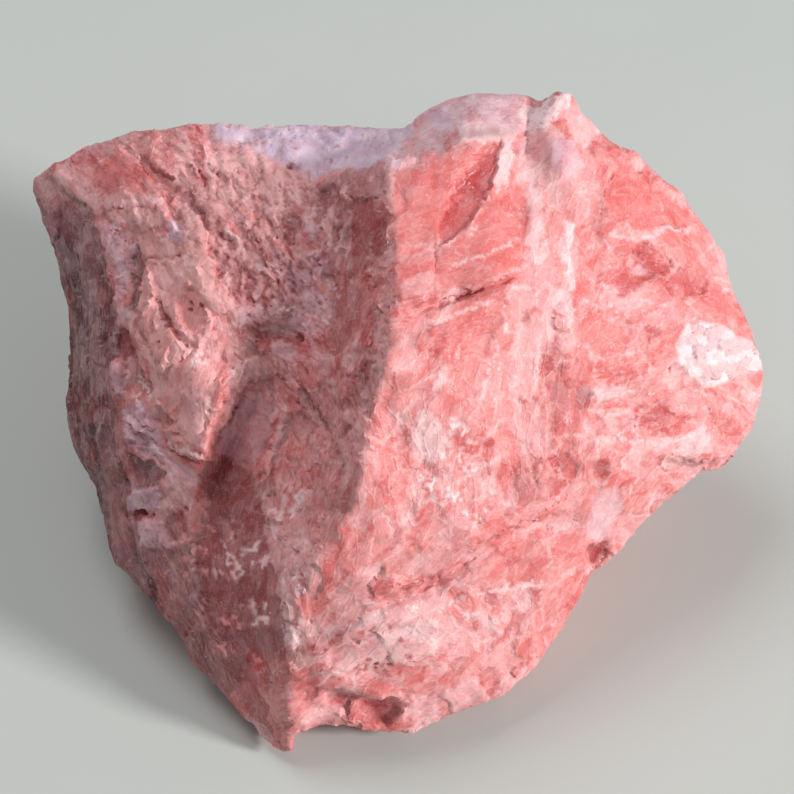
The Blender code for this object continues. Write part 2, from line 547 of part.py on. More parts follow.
def rest_flat(mesh):
    """Cuts the stone off at the floor and closes the cut with one flat face."""
    everything = [*mesh.verts, *mesh.edges, *mesh.faces]
    bmesh.ops.bisect_plane(
        mesh, geom=everything, dist=1e-7, plane_co=(0, 0, 0), plane_no=(0, 0, 1), clear_inner=True
    )
    open_edges = [edge for edge in mesh.edges if edge.is_boundary]
    bmesh.ops.holes_fill(mesh, edges=open_edges, sides=0)


def centre(mesh):
    """Moves the stone so that the middle of its box's foot is the origin."""
    spots = np.array([vert.co for vert in mesh.verts])
    low, high = spots.min(axis=0), spots.max(axis=0)
    shift = Vector((-(low[0] + high[0]) / 2, -(low[1] + high[1]) / 2, -low[2]))
    bmesh.ops.translate(mesh, verts=mesh.verts, vec=shift)


def stone_material():
    material = bpy.data.materials.new("rhodochrosite")
    material.use_nodes = True
    shader = material.node_tree.nodes["Principled BSDF"]
    shader.inputs["Base Color"].default_value = (0.72, 0.24, 0.23, 1.0)
    shader.inputs["Roughness"].default_value = 0.45
    shader.inputs["Metallic"].default_value = 0.0
    return material


def make_stone():
    girth = girth_line()
    mesh = bmesh.new()
    for make, faces_eye in ((front, True), (back, False)):
        corners, out, faces = make(girth)
        verts = add_skin(mesh, corners, girth_out(girth, corners, out), faces, faces_eye)
    break_back(verts, [place(*corner) for corner in girth])
    bmesh.ops.remove_doubles(mesh, verts=mesh.verts, dist=MERGE_GAP * MM)
    bmesh.ops.dissolve_degenerate(mesh, edges=mesh.edges, dist=SMALLEST_EDGE * MM)
    rest_flat(mesh)
    bmesh.ops.dissolve_degenerate(mesh, edges=mesh.edges, dist=SMALLEST_EDGE * MM)
    bmesh.ops.triangulate(mesh, faces=mesh.faces)
    bmesh.ops.recalc_face_normals(mesh, faces=mesh.faces)
    centre(mesh)
    data = bpy.data.meshes.new(NAME)
    mesh.to_mesh(data)
    mesh.free()
    data.materials.append(stone_material())
    stone = bpy.data.objects.new(NAME, data)
    bpy.context.scene.collection.objects.link(stone)
    return stone


def main():
    for old in list(bpy.data.objects):
        bpy.data.objects.remove(old)
    make_stone()


main()
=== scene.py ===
"""A rough piece of rhodochrosite on a pale floor: the plain stone is carved in fine relief,
coloured patch by patch and given a translucent, crystalline finish.

Landmarks are in millimetres on a plotting frame that leans back and faces the eye: across from
its left edge, down from its top edge. The mesh is in metres, +Z up.
"""

import itertools
import json
import math

import bpy
import numpy as np
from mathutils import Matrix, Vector

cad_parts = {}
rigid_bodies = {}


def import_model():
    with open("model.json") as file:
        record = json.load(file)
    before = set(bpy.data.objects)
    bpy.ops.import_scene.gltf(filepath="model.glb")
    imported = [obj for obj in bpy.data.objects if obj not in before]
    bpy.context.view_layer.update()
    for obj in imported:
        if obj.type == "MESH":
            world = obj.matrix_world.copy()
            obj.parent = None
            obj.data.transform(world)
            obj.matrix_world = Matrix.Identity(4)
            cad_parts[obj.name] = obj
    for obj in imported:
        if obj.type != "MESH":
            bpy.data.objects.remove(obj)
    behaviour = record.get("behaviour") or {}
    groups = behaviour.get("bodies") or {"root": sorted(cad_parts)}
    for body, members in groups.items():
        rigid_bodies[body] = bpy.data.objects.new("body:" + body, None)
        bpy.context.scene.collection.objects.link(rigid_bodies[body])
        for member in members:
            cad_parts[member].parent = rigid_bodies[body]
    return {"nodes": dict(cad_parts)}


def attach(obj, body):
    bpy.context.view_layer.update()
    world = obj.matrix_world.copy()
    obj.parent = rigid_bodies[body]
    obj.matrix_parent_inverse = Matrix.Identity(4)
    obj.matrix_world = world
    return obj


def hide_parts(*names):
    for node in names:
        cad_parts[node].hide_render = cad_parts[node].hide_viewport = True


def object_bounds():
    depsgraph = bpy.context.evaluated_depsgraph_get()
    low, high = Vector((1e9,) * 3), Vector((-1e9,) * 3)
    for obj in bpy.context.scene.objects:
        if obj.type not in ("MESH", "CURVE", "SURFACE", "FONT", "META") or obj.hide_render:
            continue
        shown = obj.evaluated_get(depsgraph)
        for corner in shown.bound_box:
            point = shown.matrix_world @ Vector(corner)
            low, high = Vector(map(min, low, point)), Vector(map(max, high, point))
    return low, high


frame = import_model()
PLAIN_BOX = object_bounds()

bl_info = {
    "name": "Rhodochrosite specimen",
    "version": (1, 0, 0),
    "blender": (4, 5, 0),
    "location": "3D View > Sidebar > Rhodochrosite",
    "description": "Carves, colours and lights a rough piece of rhodochrosite",
    "category": "Object",
}

PLAIN_STONE = "rhodochrosite_stone"
STONE = "rhodochrosite"
MM = 0.001

# The plotting frame: its middle stands at FRAME_CENTRE over the floor, in millimetres.
FRAME_MIDDLE = 39.7
FRAME_CENTRE = np.array([-0.0728, 0.7349, 21.5])
FRAME_RISE = math.radians(50.0)
EYE_DISTANCE = 263.0
TOWARDS_EYE = np.array([0.0, -math.cos(FRAME_RISE), math.sin(FRAME_RISE)])
FRAME_UP = np.array([0.0, math.sin(FRAME_RISE), math.cos(FRAME_RISE)])

# Which way the crystals run: (across, down, degrees clockwise from level).
FLOW = [
    # Broad face.
    (44, 20, -55), (48, 17, -55), (50, 24, -22), (41, 27, -18), (46, 27, -20), (54, 22, -80),
    (47, 32, -32),
    (43, 37, -66), (50, 38, -72), (55, 38, 86), (41, 46, 78), (46, 47, 72), (52, 47, 80),
    (57, 44, 88), (48, 55, -36), (54, 52, -30), (42, 60, -24), (40, 66, -18), (46, 62, 30),
    (51, 62, 76), (46, 68, -34), (60, 50, -58), (61, 40, -20), (66, 36, -40), (64, 30, -12),
    (62, 22, -48), (68, 25, 40), (72, 40, 40), (70, 45, 8), (58, 30, -60), (48, 11, -18),
    (57, 12, -60), (33, 68, -30),
    # Folded side.
    (7, 18, 50), (13, 16, 24), (20, 17, 44), (25, 21, 48), (29, 25, 50), (20, 25, 52),
    (12, 23, 70), (6, 28, 86), (8, 40, 84), (10, 50, 76), (13, 34, 88), (16, 31, 100),
    (19, 37, 112), (18, 45, 38), (23, 31, 62), (28, 33, 24), (27, 40, 58), (32, 41, 60),
    (24, 47, 112), (28, 47, 104), (14, 52, 62), (22, 56, 72), (27, 60, 98), (20, 63, 58),
    (25, 68, 64), (35, 24, 88), (36, 36, 94), (33, 50, 104),
]


# ---------------------------------------------------------------- settings


def hue(code):
    """The linear colour of a six-figure code."""
    parts = [int(code[i:i + 2], 16) / 255.0 for i in (0, 2, 4)]
    return tuple(p / 12.92 if p <= 0.04045 else ((p + 0.055) / 1.055) ** 2.4 for p in parts)


def colour_setting(name, code, description):
    return bpy.props.FloatVectorProperty(
        name=name, description=description, subtype="COLOR", size=3, min=0.0, max=1.0,
        default=hue(code),
    )


class StoneShape(bpy.types.PropertyGroup):
    """Sizes of the carving."""

    front_edge: bpy.props.FloatProperty(
        name="Front edge", description="Length of the mesh edges on the worked front",
        default=0.00031, min=0.0002, max=0.002, unit="LENGTH", precision=5)
    back_edge: bpy.props.FloatProperty(
        name="Back edge", description="Length of the mesh edges on the hidden side",
        default=0.00075, min=0.0003, max=0.004, unit="LENGTH", precision=5)
    relief: bpy.props.FloatProperty(
        name="Relief", description="Strength of the crystals' relief", default=1.0, min=0.0,
        max=2.0, subtype="FACTOR")
    crack_depth: bpy.props.FloatProperty(
        name="Crack depth", description="Strength of the cracks and pits", default=1.0,
        min=0.0, max=2.0, subtype="FACTOR")


class StoneColours(bpy.types.PropertyGroup):
    """Colours of the mineral and of the crusts on it; umber and part of wine are painted shade."""

    coral: colour_setting("Coral", "DF6C67", "Clear cleavage patches")
    deep: colour_setting("Deep coral", "C44646", "The deepest clear patches")
    red: colour_setting("Red", "9C2B2E", "Holes and thick clear crystal")
    rose: colour_setting("Rose", "EC9391", "Most of the stone")
    pale: colour_setting("Pale rose", "F6BBBA", "Veins and bruised crystal")
    paler: colour_setting("Palest rose", "FAD6D6", "Fine veins and bright threads")
    white: colour_setting("White", "F6E0E1", "Crushed edges and white plates")
    peach: colour_setting("Peach", "EDB0AC", "Worn folds")
    mauve: colour_setting("Mauve", "BC7C7C", "Dull cleavage on the folded side")
    # Wine is partly the stone's own dark red and partly painted shade on the dark walls and in the hollows.
    wine: colour_setting("Wine", "984446", "Dark walls and hollows")
    # Umber is painted shade: it darkens the steep side, its clefts and corners, the lower left and the
    # stone's left end.
    shade_umber: colour_setting("Umber", "551B1D", "Painted shade on the steep side and in clefts")
    lavender: colour_setting("Lavender", "D6C3D9", "Druse and crest")
    smoke: colour_setting("Smoke", "E6BEC7", "Grey translucent crystal")
    straw: colour_setting("Straw", "E0AE86", "Faint yellow stain")
    crust: colour_setting("Crust", "E0C0C2", "Calcite crust")


class StageLook(bpy.types.PropertyGroup):
    """Floor and lights."""

    floor: colour_setting("Floor", "C3C9C4", "Pale floor")
    key_power: bpy.props.FloatProperty(
        name="Key light", description="Power of the large lamp at the right", default=8.4,
        min=0.0, unit="POWER")
    sky_power: bpy.props.FloatProperty(
        name="Sky light", description="Power of the wide cool lamp overhead", default=3.3,
        min=0.0, unit="POWER")
    fill: bpy.props.FloatProperty(
        name="Fill", description="Strength of the light from all round", default=0.28, min=0.0)


# ---------------------------------------------------------------- sums


# Offsets that make a line wander: (reach, size, seed, octaves), in millimetres.
WAVERS = {
    "bent": (0.5, 2.4, 11, 2),
    "fine": (0.12, 0.7, 13),
    "ragged": (0.3, 0.9, 16, 2),
    "fringed": (0.16, 0.35, 18),
    "jagged": (0.45, 1.2, 111, 2),
    "loose": (0.9, 1.6, 101, 3),
    "spun": (0.8, 3.0, 81, 2),
}

# Patches: (length and width in millimetres, seed, how square, lean in degrees).
PATTERNS = {
    "crystal": ((5.2, 3.0), 113, 0.7, 8.0),
    "plate": ((3.6, 1.7), 21, 0.8, 12.0),
    "chip": ((1.5, 0.75), 24, 0.9, -14.0),
    "crumb": ((2.4, 0.6), 27, 0.9, 12.0),
    "sugar": ((0.8, 0.7), 54),
    "crust": ((1.3, 0.9), 71, 1.0),
}

# Threads along the flow: (width, length, seed), in millimetres.
THREADS = {
    "threads": (0.62, 4.0, 31), "broad": (1.5, 9.0, 33), "rough": (0.6, 3.0, 55),
    "flake lines": (0.9, 4.0), "leaf": (1.3, 6.0, 45), "leaf lines": (0.6, 3.0, 46),
    "flute": (1.5, 10.0, 48), "flute lines": (0.7, 5.0, 49),
}

# Grain: (size, seed, octaves), in millimetres.
GRAINS = {
    "chipped": (5.0, 15, 2), "rough": (1.6, 51, 3), "fine": (1.1, 52, 2), "druse": (1.6, 53, 2),
    "crack": (1.3, 61), "blade": (1.1, 63), "pit": (0.6, 62, 2), "all round": (1.8, 92, 3),
    "streaks": ((6.0, 0.9, 0.9), 95, 2), "cloud": (7.0, 97, 3), "chalk": (5.0, 99, 3),
    "broken veins": (2.2, 64, 2), "clumps": (1.5, 131, 2), "sugar": (0.8, 133, 2),
}

PRIMES = [np.uint64(p) for p in (0x9E3779B97F4A7C15, 0xC2B2AE3D27D4EB4F, 0x165667B19E3779F9)]
MIXER = np.uint64(0xFF51AFD7ED558CCD)
SEED_STEP, SEED_START = 7919, 17
FOLD_BITS, FLOAT_BITS = 29, 53
SEED_SHIFT = 31.7  # How far apart the noises of two seeds lie.
FIBRE_STEPS, FIBRE_SPREAD = 9, 2.2
PATCH_MARGIN = 0.1  # A patch's middle keeps this far from its cell's sides.
END_SHARE = 0.15  # A line's ends fade over this share of it.
FLOW_CORE, FLOW_FALL = 1.5, 1.6  # How wide a landmark's hold is, and how fast it falls.
CRYSTAL_SPREAD = 26.0  # Neighbouring crystals turn by up to half of this, in degrees.

# Which way a corner faces the eye: 1 is straight at it, 0 is the outline. From, to.
FRONT_FACING = (-0.02, 0.2)
PAINTED_FACING = (-0.35, -0.05)
RIM_FACING = (0.3, 0.0)


def scatter(cells, seed):
    """A repeatable number from 0 to 1 for each whole-numbered cell."""
    mixed = np.full(len(cells), seed * SEED_STEP + SEED_START, np.uint64)
    for column, prime in zip(cells.T, PRIMES):
        mixed = (mixed ^ (column.astype(np.int64).astype(np.uint64) * prime)) * MIXER
        mixed ^= mixed >> np.uint64(FOLD_BITS)
    return (mixed >> np.uint64(64 - FLOAT_BITS)).astype(float) / 2.0**FLOAT_BITS


def grain(points, size, seed, octaves=1):
    """Smooth noise from -1 to 1, in lumps of about the size."""
    total, share, whole = np.zeros(len(points)), 1.0, 0.0
    for octave in range(octaves):
        spots = points / np.asarray(size) * 2.0**octave + SEED_SHIFT * (seed + octave)
        low = np.floor(spots)
        part = spots - low
        ease = part * part * part * (part * (part * 6.0 - 15.0) + 10.0)
        for corner in itertools.product((0, 1), repeat=points.shape[1]):
            weight = np.prod(np.where(corner, ease, 1.0 - ease), axis=1)
            total += share * weight * (2.0 * scatter(low + corner, seed + octave) - 1.0)
        whole += share
        share *= 0.5
    return total / whole


def waver(points, reach, size, seed, octaves=1):
    """A wandering offset for each point, of up to the reach along each axis."""
    sides = [grain(points, size, seed + axis, octaves) for axis in range(points.shape[1])]
    return reach * np.stack(sides, axis=1)


def smooth(low, high, value):
    """Nought below low, one above high and eased between them."""
    part = np.clip((value - low) / (high - low), 0.0, 1.0)
    return part * part * (3.0 - 2.0 * part)


def mix(first, second, share):
    return first + (second - first) * share


def fibres(points, flow, width, length, seed):
    """Noise drawn out along the flow, spread evenly about nought."""
    total = sum(
        grain(points + flow * length * step, width, seed)
        for step in np.linspace(-0.5, 0.5, FIBRE_STEPS)
    )
    return total / (FIBRE_SPREAD * total.std())


def turned(flow, degrees):
    """The flow turned clockwise, by one angle or by one for each point."""
    c, s = np.cos(np.radians(degrees)), np.sin(np.radians(degrees))
    return np.stack([flow[:, 0] * c - flow[:, 1] * s, flow[:, 0] * s + flow[:, 1] * c], axis=1)


def patches(points, flow, size, seed, square=0.5, lean=0.0):
    """The patch of each point: its number from 0 to 1, how far in from its edge, and where in it."""
    long, wide = size
    spacing = math.sqrt(long * wide)
    spots = points / spacing
    low = np.floor(spots)
    side = turned(flow, 90.0 + lean)
    best, second = np.full(len(points), np.inf), np.full(len(points), np.inf)
    number, place = np.zeros(len(points)), np.zeros((len(points), 2))
    home = np.zeros((len(points), 2))
    for step in itertools.product(range(-2, 3), repeat=2):
        cell = low + step
        jitter = np.stack([scatter(cell, seed), scatter(cell, seed + 1)], axis=1)
        middle = cell + PATCH_MARGIN + (1.0 - 2.0 * PATCH_MARGIN) * jitter
        gap = (spots - middle) * spacing
        u, v = (gap * flow).sum(axis=1) / long, (gap * side).sum(axis=1) / wide
        far = mix(np.hypot(u, v), np.maximum(abs(u), abs(v)), square)
        closer = far < best
        second = np.where(closer, best, np.minimum(second, far))
        best = np.where(closer, far, best)
        number = np.where(closer, scatter(cell, seed + 2), number)
        place = np.where(closer[:, None], np.stack([u, v], axis=1), place)
        home = np.where(closer[:, None], middle * spacing, home)
    return number, second - best, place, home


def lumps(points, sizes, seed):
    """As patches, in the round: the number of each point's block and how far in from its edge."""
    spots = points / np.asarray(sizes)
    low = np.floor(spots)
    best, second = np.full(len(points), np.inf), np.full(len(points), np.inf)
    number = np.zeros(len(points))
    for step in itertools.product(range(-1, 2), repeat=3):
        cell = low + step
        jitter = np.stack([scatter(cell, seed + i) for i in range(3)], axis=1)
        far = abs(spots - cell - jitter).max(axis=1)
        closer = far < best
        second = np.where(closer, best, np.minimum(second, far))
        best = np.where(closer, far, best)
        number = np.where(closer, scatter(cell, seed + 3), number)
    return number, second - best


def nearest(points, line):
    """How far each point is from the line, and how far along the line it is, from 0 to 1."""
    best = np.full(len(points), np.inf)
    along, walked = np.zeros(len(points)), 0.0
    for start, end in zip(np.array(line, float)[:-1], np.array(line, float)[1:]):
        leg = end - start
        part = np.clip((points - start) @ leg / (leg @ leg), 0.0, 1.0)
        far = np.linalg.norm(points - start - part[:, None] * leg, axis=1)
        closer = far < best
        best[closer] = far[closer]
        along[closer] = walked + part[closer] * np.linalg.norm(leg)
        walked += np.linalg.norm(leg)
    return best, along / walked


def ends(along):
    """One along most of a line, falling to nothing at both ends."""
    return smooth(0.0, END_SHARE, np.minimum(along, 1.0 - along))


def close_by(points, line, reach):
    """Which points lie in the line's box, widened by the reach."""
    corners = np.array(line, float)
    return ((points > corners.min(0) - reach) & (points < corners.max(0) + reach)).all(axis=1)


def within(points, outline, edge):
    """One inside the closed outline, nought outside, eased over the edge."""
    share = np.zeros(len(points))
    box = close_by(points, outline, 2.0 * edge)
    boxed = points[box]
    found = np.zeros(len(boxed), bool)
    for (x0, y0), (x1, y1) in zip(outline, outline[1:] + outline[:1]):
        crosses = (y0 > boxed[:, 1]) != (y1 > boxed[:, 1])
        if y0 != y1:
            found ^= crosses & (boxed[:, 0] < x0 + (boxed[:, 1] - y0) * (x1 - x0) / (y1 - y0))
    far = nearest(boxed, [*outline, outline[0]])[0]
    share[box] = smooth(-edge, edge, np.where(found, far, -far))
    return share


def spot(points, across, down, half_length, half_width, turn):
    """How far each point is from a spot's middle, as a share of the way to its edge."""
    c, s = math.cos(math.radians(turn)), math.sin(math.radians(turn))
    x, y = points[:, 0] - across, points[:, 1] - down
    return np.hypot((x * c + y * s) / half_length, (y * c - x * s) / half_width)


def flow_at(points):
    """The crystals' direction at each point, blended between the landmarks."""
    total = np.zeros((len(points), 2))
    for across, down, degrees in FLOW:
        near = 1.0 / (((points - (across, down)) ** 2).sum(axis=1) + FLOW_CORE) ** FLOW_FALL
        double = math.radians(2.0 * degrees)
        total += near[:, None] * (math.cos(double), math.sin(double))
    angle = np.arctan2(total[:, 1], total[:, 0]) / 2.0
    return np.stack([np.cos(angle), np.sin(angle)], axis=1)


def crystals(flat):
    """The crystal of each point: its direction, its number and how far in from its edge."""
    jagged = flat + waver(flat, *WAVERS["jagged"])
    number, edge, _, middle = patches(jagged, flow_at(flat), *PATTERNS["crystal"])
    return turned(flow_at(middle), CRYSTAL_SPREAD * (number - 0.5)), number, edge


def frame_places(places):
    """Across and down, and the way to the eye, of points in millimetres."""
    high = places - FRAME_CENTRE
    spread = (EYE_DISTANCE - high @ TOWARDS_EYE) / EYE_DISTANCE
    across, down = high[:, 0] / spread, -(high @ FRAME_UP) / spread
    sight = TOWARDS_EYE * EYE_DISTANCE - high
    flat = FRAME_MIDDLE + np.stack([across, down], axis=1)
    return flat, sight / np.linalg.norm(sight, axis=1)[:, None]


class Survey:
    """Where each corner of the stone lies, in millimetres, and which way it faces."""

    def __init__(self, mesh):
        count = len(mesh.vertices)
        places, normals = np.empty(count * 3), np.empty(count * 3)
        mesh.vertices.foreach_get("co", places)
        mesh.vertices.foreach_get("normal", normals)
        self.places = places.reshape(-1, 3) / MM
        self.normals = normals.reshape(-1, 3)
        self.flat, sight = frame_places(self.places)
        facing = (self.normals * sight).sum(axis=1)
        self.front = smooth(*FRONT_FACING, facing)
        self.painted = smooth(*PAINTED_FACING, facing)
        self.rim = smooth(*RIM_FACING, abs(facing))


# ---------------------------------------------------------------- carving

MERGE_GAP = 1e-6
SPLIT_ROUNDS = 8
SPLIT_FROM = 1.42  # An edge this many times too long is halved.
WEAR_ROUNDS, WEAR_SHARE = 9, 0.5
SMOOTH_ANGLE = math.radians(45.0)


def deselect_all():
    if bpy.context.mode != "OBJECT":
        bpy.ops.object.mode_set(mode="OBJECT")
    bpy.ops.object.select_all(action="DESELECT")


def copy_plain_stone():
    """A merged copy of the plain stone, free of its body and finish."""
    deselect_all()
    plain = frame["nodes"][PLAIN_STONE]
    plain.select_set(True)
    bpy.context.view_layer.objects.active = plain
    bpy.ops.object.duplicate()
    stone = bpy.context.active_object
    stone.name = stone.data.name = STONE
    bpy.ops.object.parent_clear(type="CLEAR_KEEP_TRANSFORM")
    for key in list(stone.keys()):
        del stone[key]
    stone.data.materials.clear()
    bpy.ops.object.mode_set(mode="EDIT")
    bpy.ops.mesh.select_all(action="SELECT")
    bpy.ops.mesh.remove_doubles(threshold=MERGE_GAP)
    bpy.ops.mesh.customdata_custom_splitnormals_clear()
    bpy.ops.object.mode_set(mode="OBJECT")
    return stone


def select_edges(mesh, chosen):
    mesh.vertices.foreach_set("select", np.zeros(len(mesh.vertices), bool))
    mesh.polygons.foreach_set("select", np.zeros(len(mesh.polygons), bool))
    mesh.edges.foreach_set("select", chosen)


def split_long_edges(stone, shape):
    """Halves the long edges, round after round, until the front is fine and the rest less so."""
    bpy.context.tool_settings.mesh_select_mode = (False, True, False)
    for _ in range(SPLIT_ROUNDS):
        mesh = stone.data
        seen = Survey(mesh)
        pairs = np.empty(len(mesh.edges) * 2, np.int64)
        mesh.edges.foreach_get("vertices", pairs)
        first, second = pairs.reshape(-1, 2).T
        length = np.linalg.norm(seen.places[first] - seen.places[second], axis=1) * MM
        front = np.maximum(seen.front[first], seen.front[second])
        wanted = mix(shape.back_edge, shape.front_edge, front) * SPLIT_FROM
        chosen = length > wanted
        if not chosen.any():
            break
        select_edges(mesh, chosen)
        bpy.ops.object.mode_set(mode="EDIT")
        bpy.ops.mesh.subdivide(number_cuts=1)
        bpy.ops.mesh.select_all(action="SELECT")
        bpy.ops.mesh.quads_convert_to_tris(quad_method="SHORTEST_DIAGONAL")
        bpy.ops.object.mode_set(mode="OBJECT")


def wear():
    """Eases the facets of the stone being worked on."""
    bpy.ops.object.mode_set(mode="EDIT")
    bpy.ops.mesh.select_all(action="SELECT")
    bpy.ops.mesh.vertices_smooth(factor=WEAR_SHARE, repeat=WEAR_ROUNDS)
    bpy.ops.object.mode_set(mode="OBJECT")


# Cracks: (half width, depth, line).
CRACKS = {
    "face crack": (0.12, 0.3, [(39.9, 31), (43, 30.3), (46, 29.5), (49.5, 28.2), (53, 26.8)]),
    "upright crack": (0.12, 0.15, [(43.5, 24), (43.5, 26.6), (43.1, 29.6)]),
    "shoulder crack": (0.15, 0.5, [(61.5, 17.2), (60.9, 18.6), (60.5, 19.9)]),
    "low crack": (0.15, 0.35, [(37.6, 60), (41, 58.9), (44.2, 57.6), (47.5, 55), (50.5, 53),
                              (54, 51.6), (57.3, 50.8)]),
    "top crack": (0.15, 0.4, [(13.4, 14.8), (14.4, 16.8), (15.6, 18.4), (17, 20.4)]),
    "red line": (0.13, 0.35, [(10.8, 20.9), (13, 20.9), (15.2, 20.6)]),
    "fold crack": (0.15, 0.45, [(16, 43.6), (16.8, 44.8), (18.4, 45.8), (20.2, 46.9)]),
    "second fold crack": (0.13, 0.4, [(16.8, 44.2), (18.2, 45.1), (19.8, 46.1), (20.6, 46.5)]),
    "third fold crack": (0.13, 0.4, [(17.4, 43.8), (18.8, 44.7), (20.4, 45.6)]),
    "silver crack": (0.13, 0.45, [(12.4, 42.2), (13.8, 43.4), (15.2, 44.2), (16.2, 44.9)]),
    "second silver crack": (0.13, 0.4, [(12.8, 41.4), (14.2, 42.5), (15.4, 43.4)]),
    "third silver crack": (0.13, 0.4, [(12.8, 43.8), (14, 44.8), (15.4, 45.6), (16.4, 46.8)]),
    "valley": (0.25, 0.5, [(29.8, 38), (31.6, 41.2), (33.4, 44.4), (34.1, 46.6)]),
    "second valley": (0.2, 0.4, [(26.8, 36.6), (29, 39), (31.6, 42.8), (33.6, 45.8)]),
    "hollow's left seam": (0.2, 0.4, [(26, 36.2), (24.2, 40), (22.4, 43), (21.2, 46)]),
    "crown's seam": (0.25, 0.5, [
        (15.6, 29.8), (16.4, 31.2), (17, 32.6), (18, 34), (19, 34.8), (19.8, 35)]),
    "leaf's seam": (0.13, 0.5, [(15.3, 31.8), (15.4, 33), (15.9, 34.6), (16, 36.8)]),
    "second leaf's seam": (0.12, 0.4, [(14.3, 33.4), (15, 34.6), (15.5, 36)]),
    "crown's shadow": (0.15, 0.4, [(14.4, 26.2), (16, 25.6), (17.2, 26), (18.8, 25.6)]),
    "brow's underside": (0.2, 0.5, [(32, 70), (33.4, 68.9), (36.4, 70.1), (40.2, 70)]),
    "block's seam": (0.13, 0.35, [(31, 66), (34.4, 64.8), (38, 63.2), (43, 62)]),
    "toe's seam": (0.13, 0.35, [(32, 68), (35.4, 66.9), (40, 66.4), (44.6, 65)]),
    "overhang": (0.15, 0.35, [(66.6, 45.4), (69.5, 46.6), (72.6, 45.4)]),
    "crest gully": (0.16, 0.1, [(53.6, 10.6), (52.6, 13.4), (52.6, 16.4)]),
    "right step": (0.13, 0.3, [(54.6, 38), (55.4, 41.4), (55, 44), (58, 44.4)]),
    "wedge crack": (0.13, 0.2, [(53, 46.4), (53.6, 48.4), (53.9, 50.6)]),
    "toe crack": (0.14, 0.25, [(47.8, 66.6), (48.4, 68.6), (49, 70)]),
}

# Thin raised blades and veins: (half width, height, line).
BLADES = {
    "blade": (0.16, 0.3, [(24.7, 36), (23.9, 37.5), (23, 38.9)]),
    "second blade": (0.13, 0.25, [(24.1, 36), (23.1, 37.5), (22.3, 38.7)]),
    "third blade": (0.13, 0.25, [(25.4, 36.4), (24.4, 38.2), (23.4, 40), (22.6, 41.6)]),
    "fold's blade": (0.12, 0.2, [(17.6, 44.3), (19, 45.2), (20.4, 45.9)]),
    "second fold's blade": (0.12, 0.2, [(16.6, 44), (18, 45.1), (19.6, 46.2)]),
    "silver blade": (0.12, 0.2, [(12.6, 41.8), (14, 43), (15.4, 43.9)]),
    "second silver blade": (0.12, 0.2, [(12.6, 43), (14, 44.1), (15.6, 44.9), (16.8, 46.4)]),
    "wall's blade": (0.14, 0.3, [(33.9, 17.8), (34.6, 18.9), (35, 20.4)]),
    "wall's low blade": (0.13, 0.25, [(34.9, 21.8), (34.5, 23.6), (34.2, 25.2)]),
    "slope's blade": (0.12, 0.2, [(22.4, 22.6), (23.4, 23.8), (24.2, 24.3)]),
    "vein on the face": (0.12, 0.06, [(40, 26.2), (43.2, 25), (46.8, 23.4), (48.8, 21.8)]),
    "second vein": (0.12, 0.06, [(44, 27), (47, 26), (50.4, 24.6), (52.6, 23.8)]),
    "third vein": (0.12, 0.06, [(41, 33.6), (45, 31.8), (50.4, 29.4), (54.6, 27.6)]),
    "fourth vein": (0.12, 0.06, [(50.8, 29), (50.4, 33), (49.4, 36.6), (47.4, 41), (45, 45)]),
    "fifth vein": (0.12, 0.06, [(54.2, 30), (54, 34), (53, 40), (52.6, 44)]),
    "sixth vein": (0.12, 0.06, [(57.4, 30.2), (61, 30.6), (64.6, 30.2), (68, 31)]),
    "seventh vein": (0.12, 0.06, [(60.4, 23.4), (63.6, 23.9), (67, 22.9), (69.8, 23)]),
    "eighth vein": (0.12, 0.06, [(39.6, 41.8), (41.4, 40), (43.6, 38.8), (44.6, 36)]),
    "ninth vein": (0.12, 0.06, [(38, 54), (42, 50.6), (46.8, 47.4), (51.6, 44.8)]),
    "tenth vein": (0.12, 0.06, [(40, 62.2), (46, 59.8), (51, 58.9), (55.6, 58.3)]),
    "last vein": (0.12, 0.06, [(58, 44.4), (62.4, 44), (66.6, 44.6), (70, 43.4)]),
}

# Pits (negative) and lumps: (height, across, down, half length, half width, turn).
PITS = {
    "face crack's pit": (-0.12, 46.4, 29.2, 0.9, 0.25, -28),
    "hollow's hole": (-0.6, 29.7, 34.1, 0.5, 0.4, 20),
    "side hole": (-0.9, 10.5, 34, 0.5, 0.9, 15), "nub's pit": (-1, 14.4, 51.4, 0.8, 0.4, -5),
    "tip's pit": (-0.4, 30.1, 71.6, 0.3, 0.3, 0), "crown's speck": (-0.4, 18.8, 30.1, 0.25, 0.35, 20),
    "crown's second speck": (-0.4, 18.7, 30.8, 0.3, 0.2, 0),
    "crown's third speck": (-0.3, 20, 30.6, 0.3, 0.15, 50),
    "left pit": (-0.4, 18.7, 51.2, 0.25, 0.25, 0), "low left pit": (-0.4, 20.3, 61.2, 0.25, 0.25, 0),
    "second low left pit": (-0.4, 18.4, 63.5, 0.3, 0.25, 0),
    "rim's dark speck": (-0.5, 29, 16.7, 0.45, 0.2, 10),
    "blade's hole": (-0.5, 22.4, 39.7, 0.3, 0.3, 0),
    "recess at the right": (-0.25, 60.2, 55.6, 0.9, 0.5, -60),
    "crystal's hollow": (-0.25, 58.5, 39.5, 0.9, 1.3, 10),
    "flake in the recess": (0.5, 35.2, 71, 1.3, 0.9, -30),
    "slit at the right": (-0.12, 53.4, 47.8, 0.2, 1.2, -15),
}

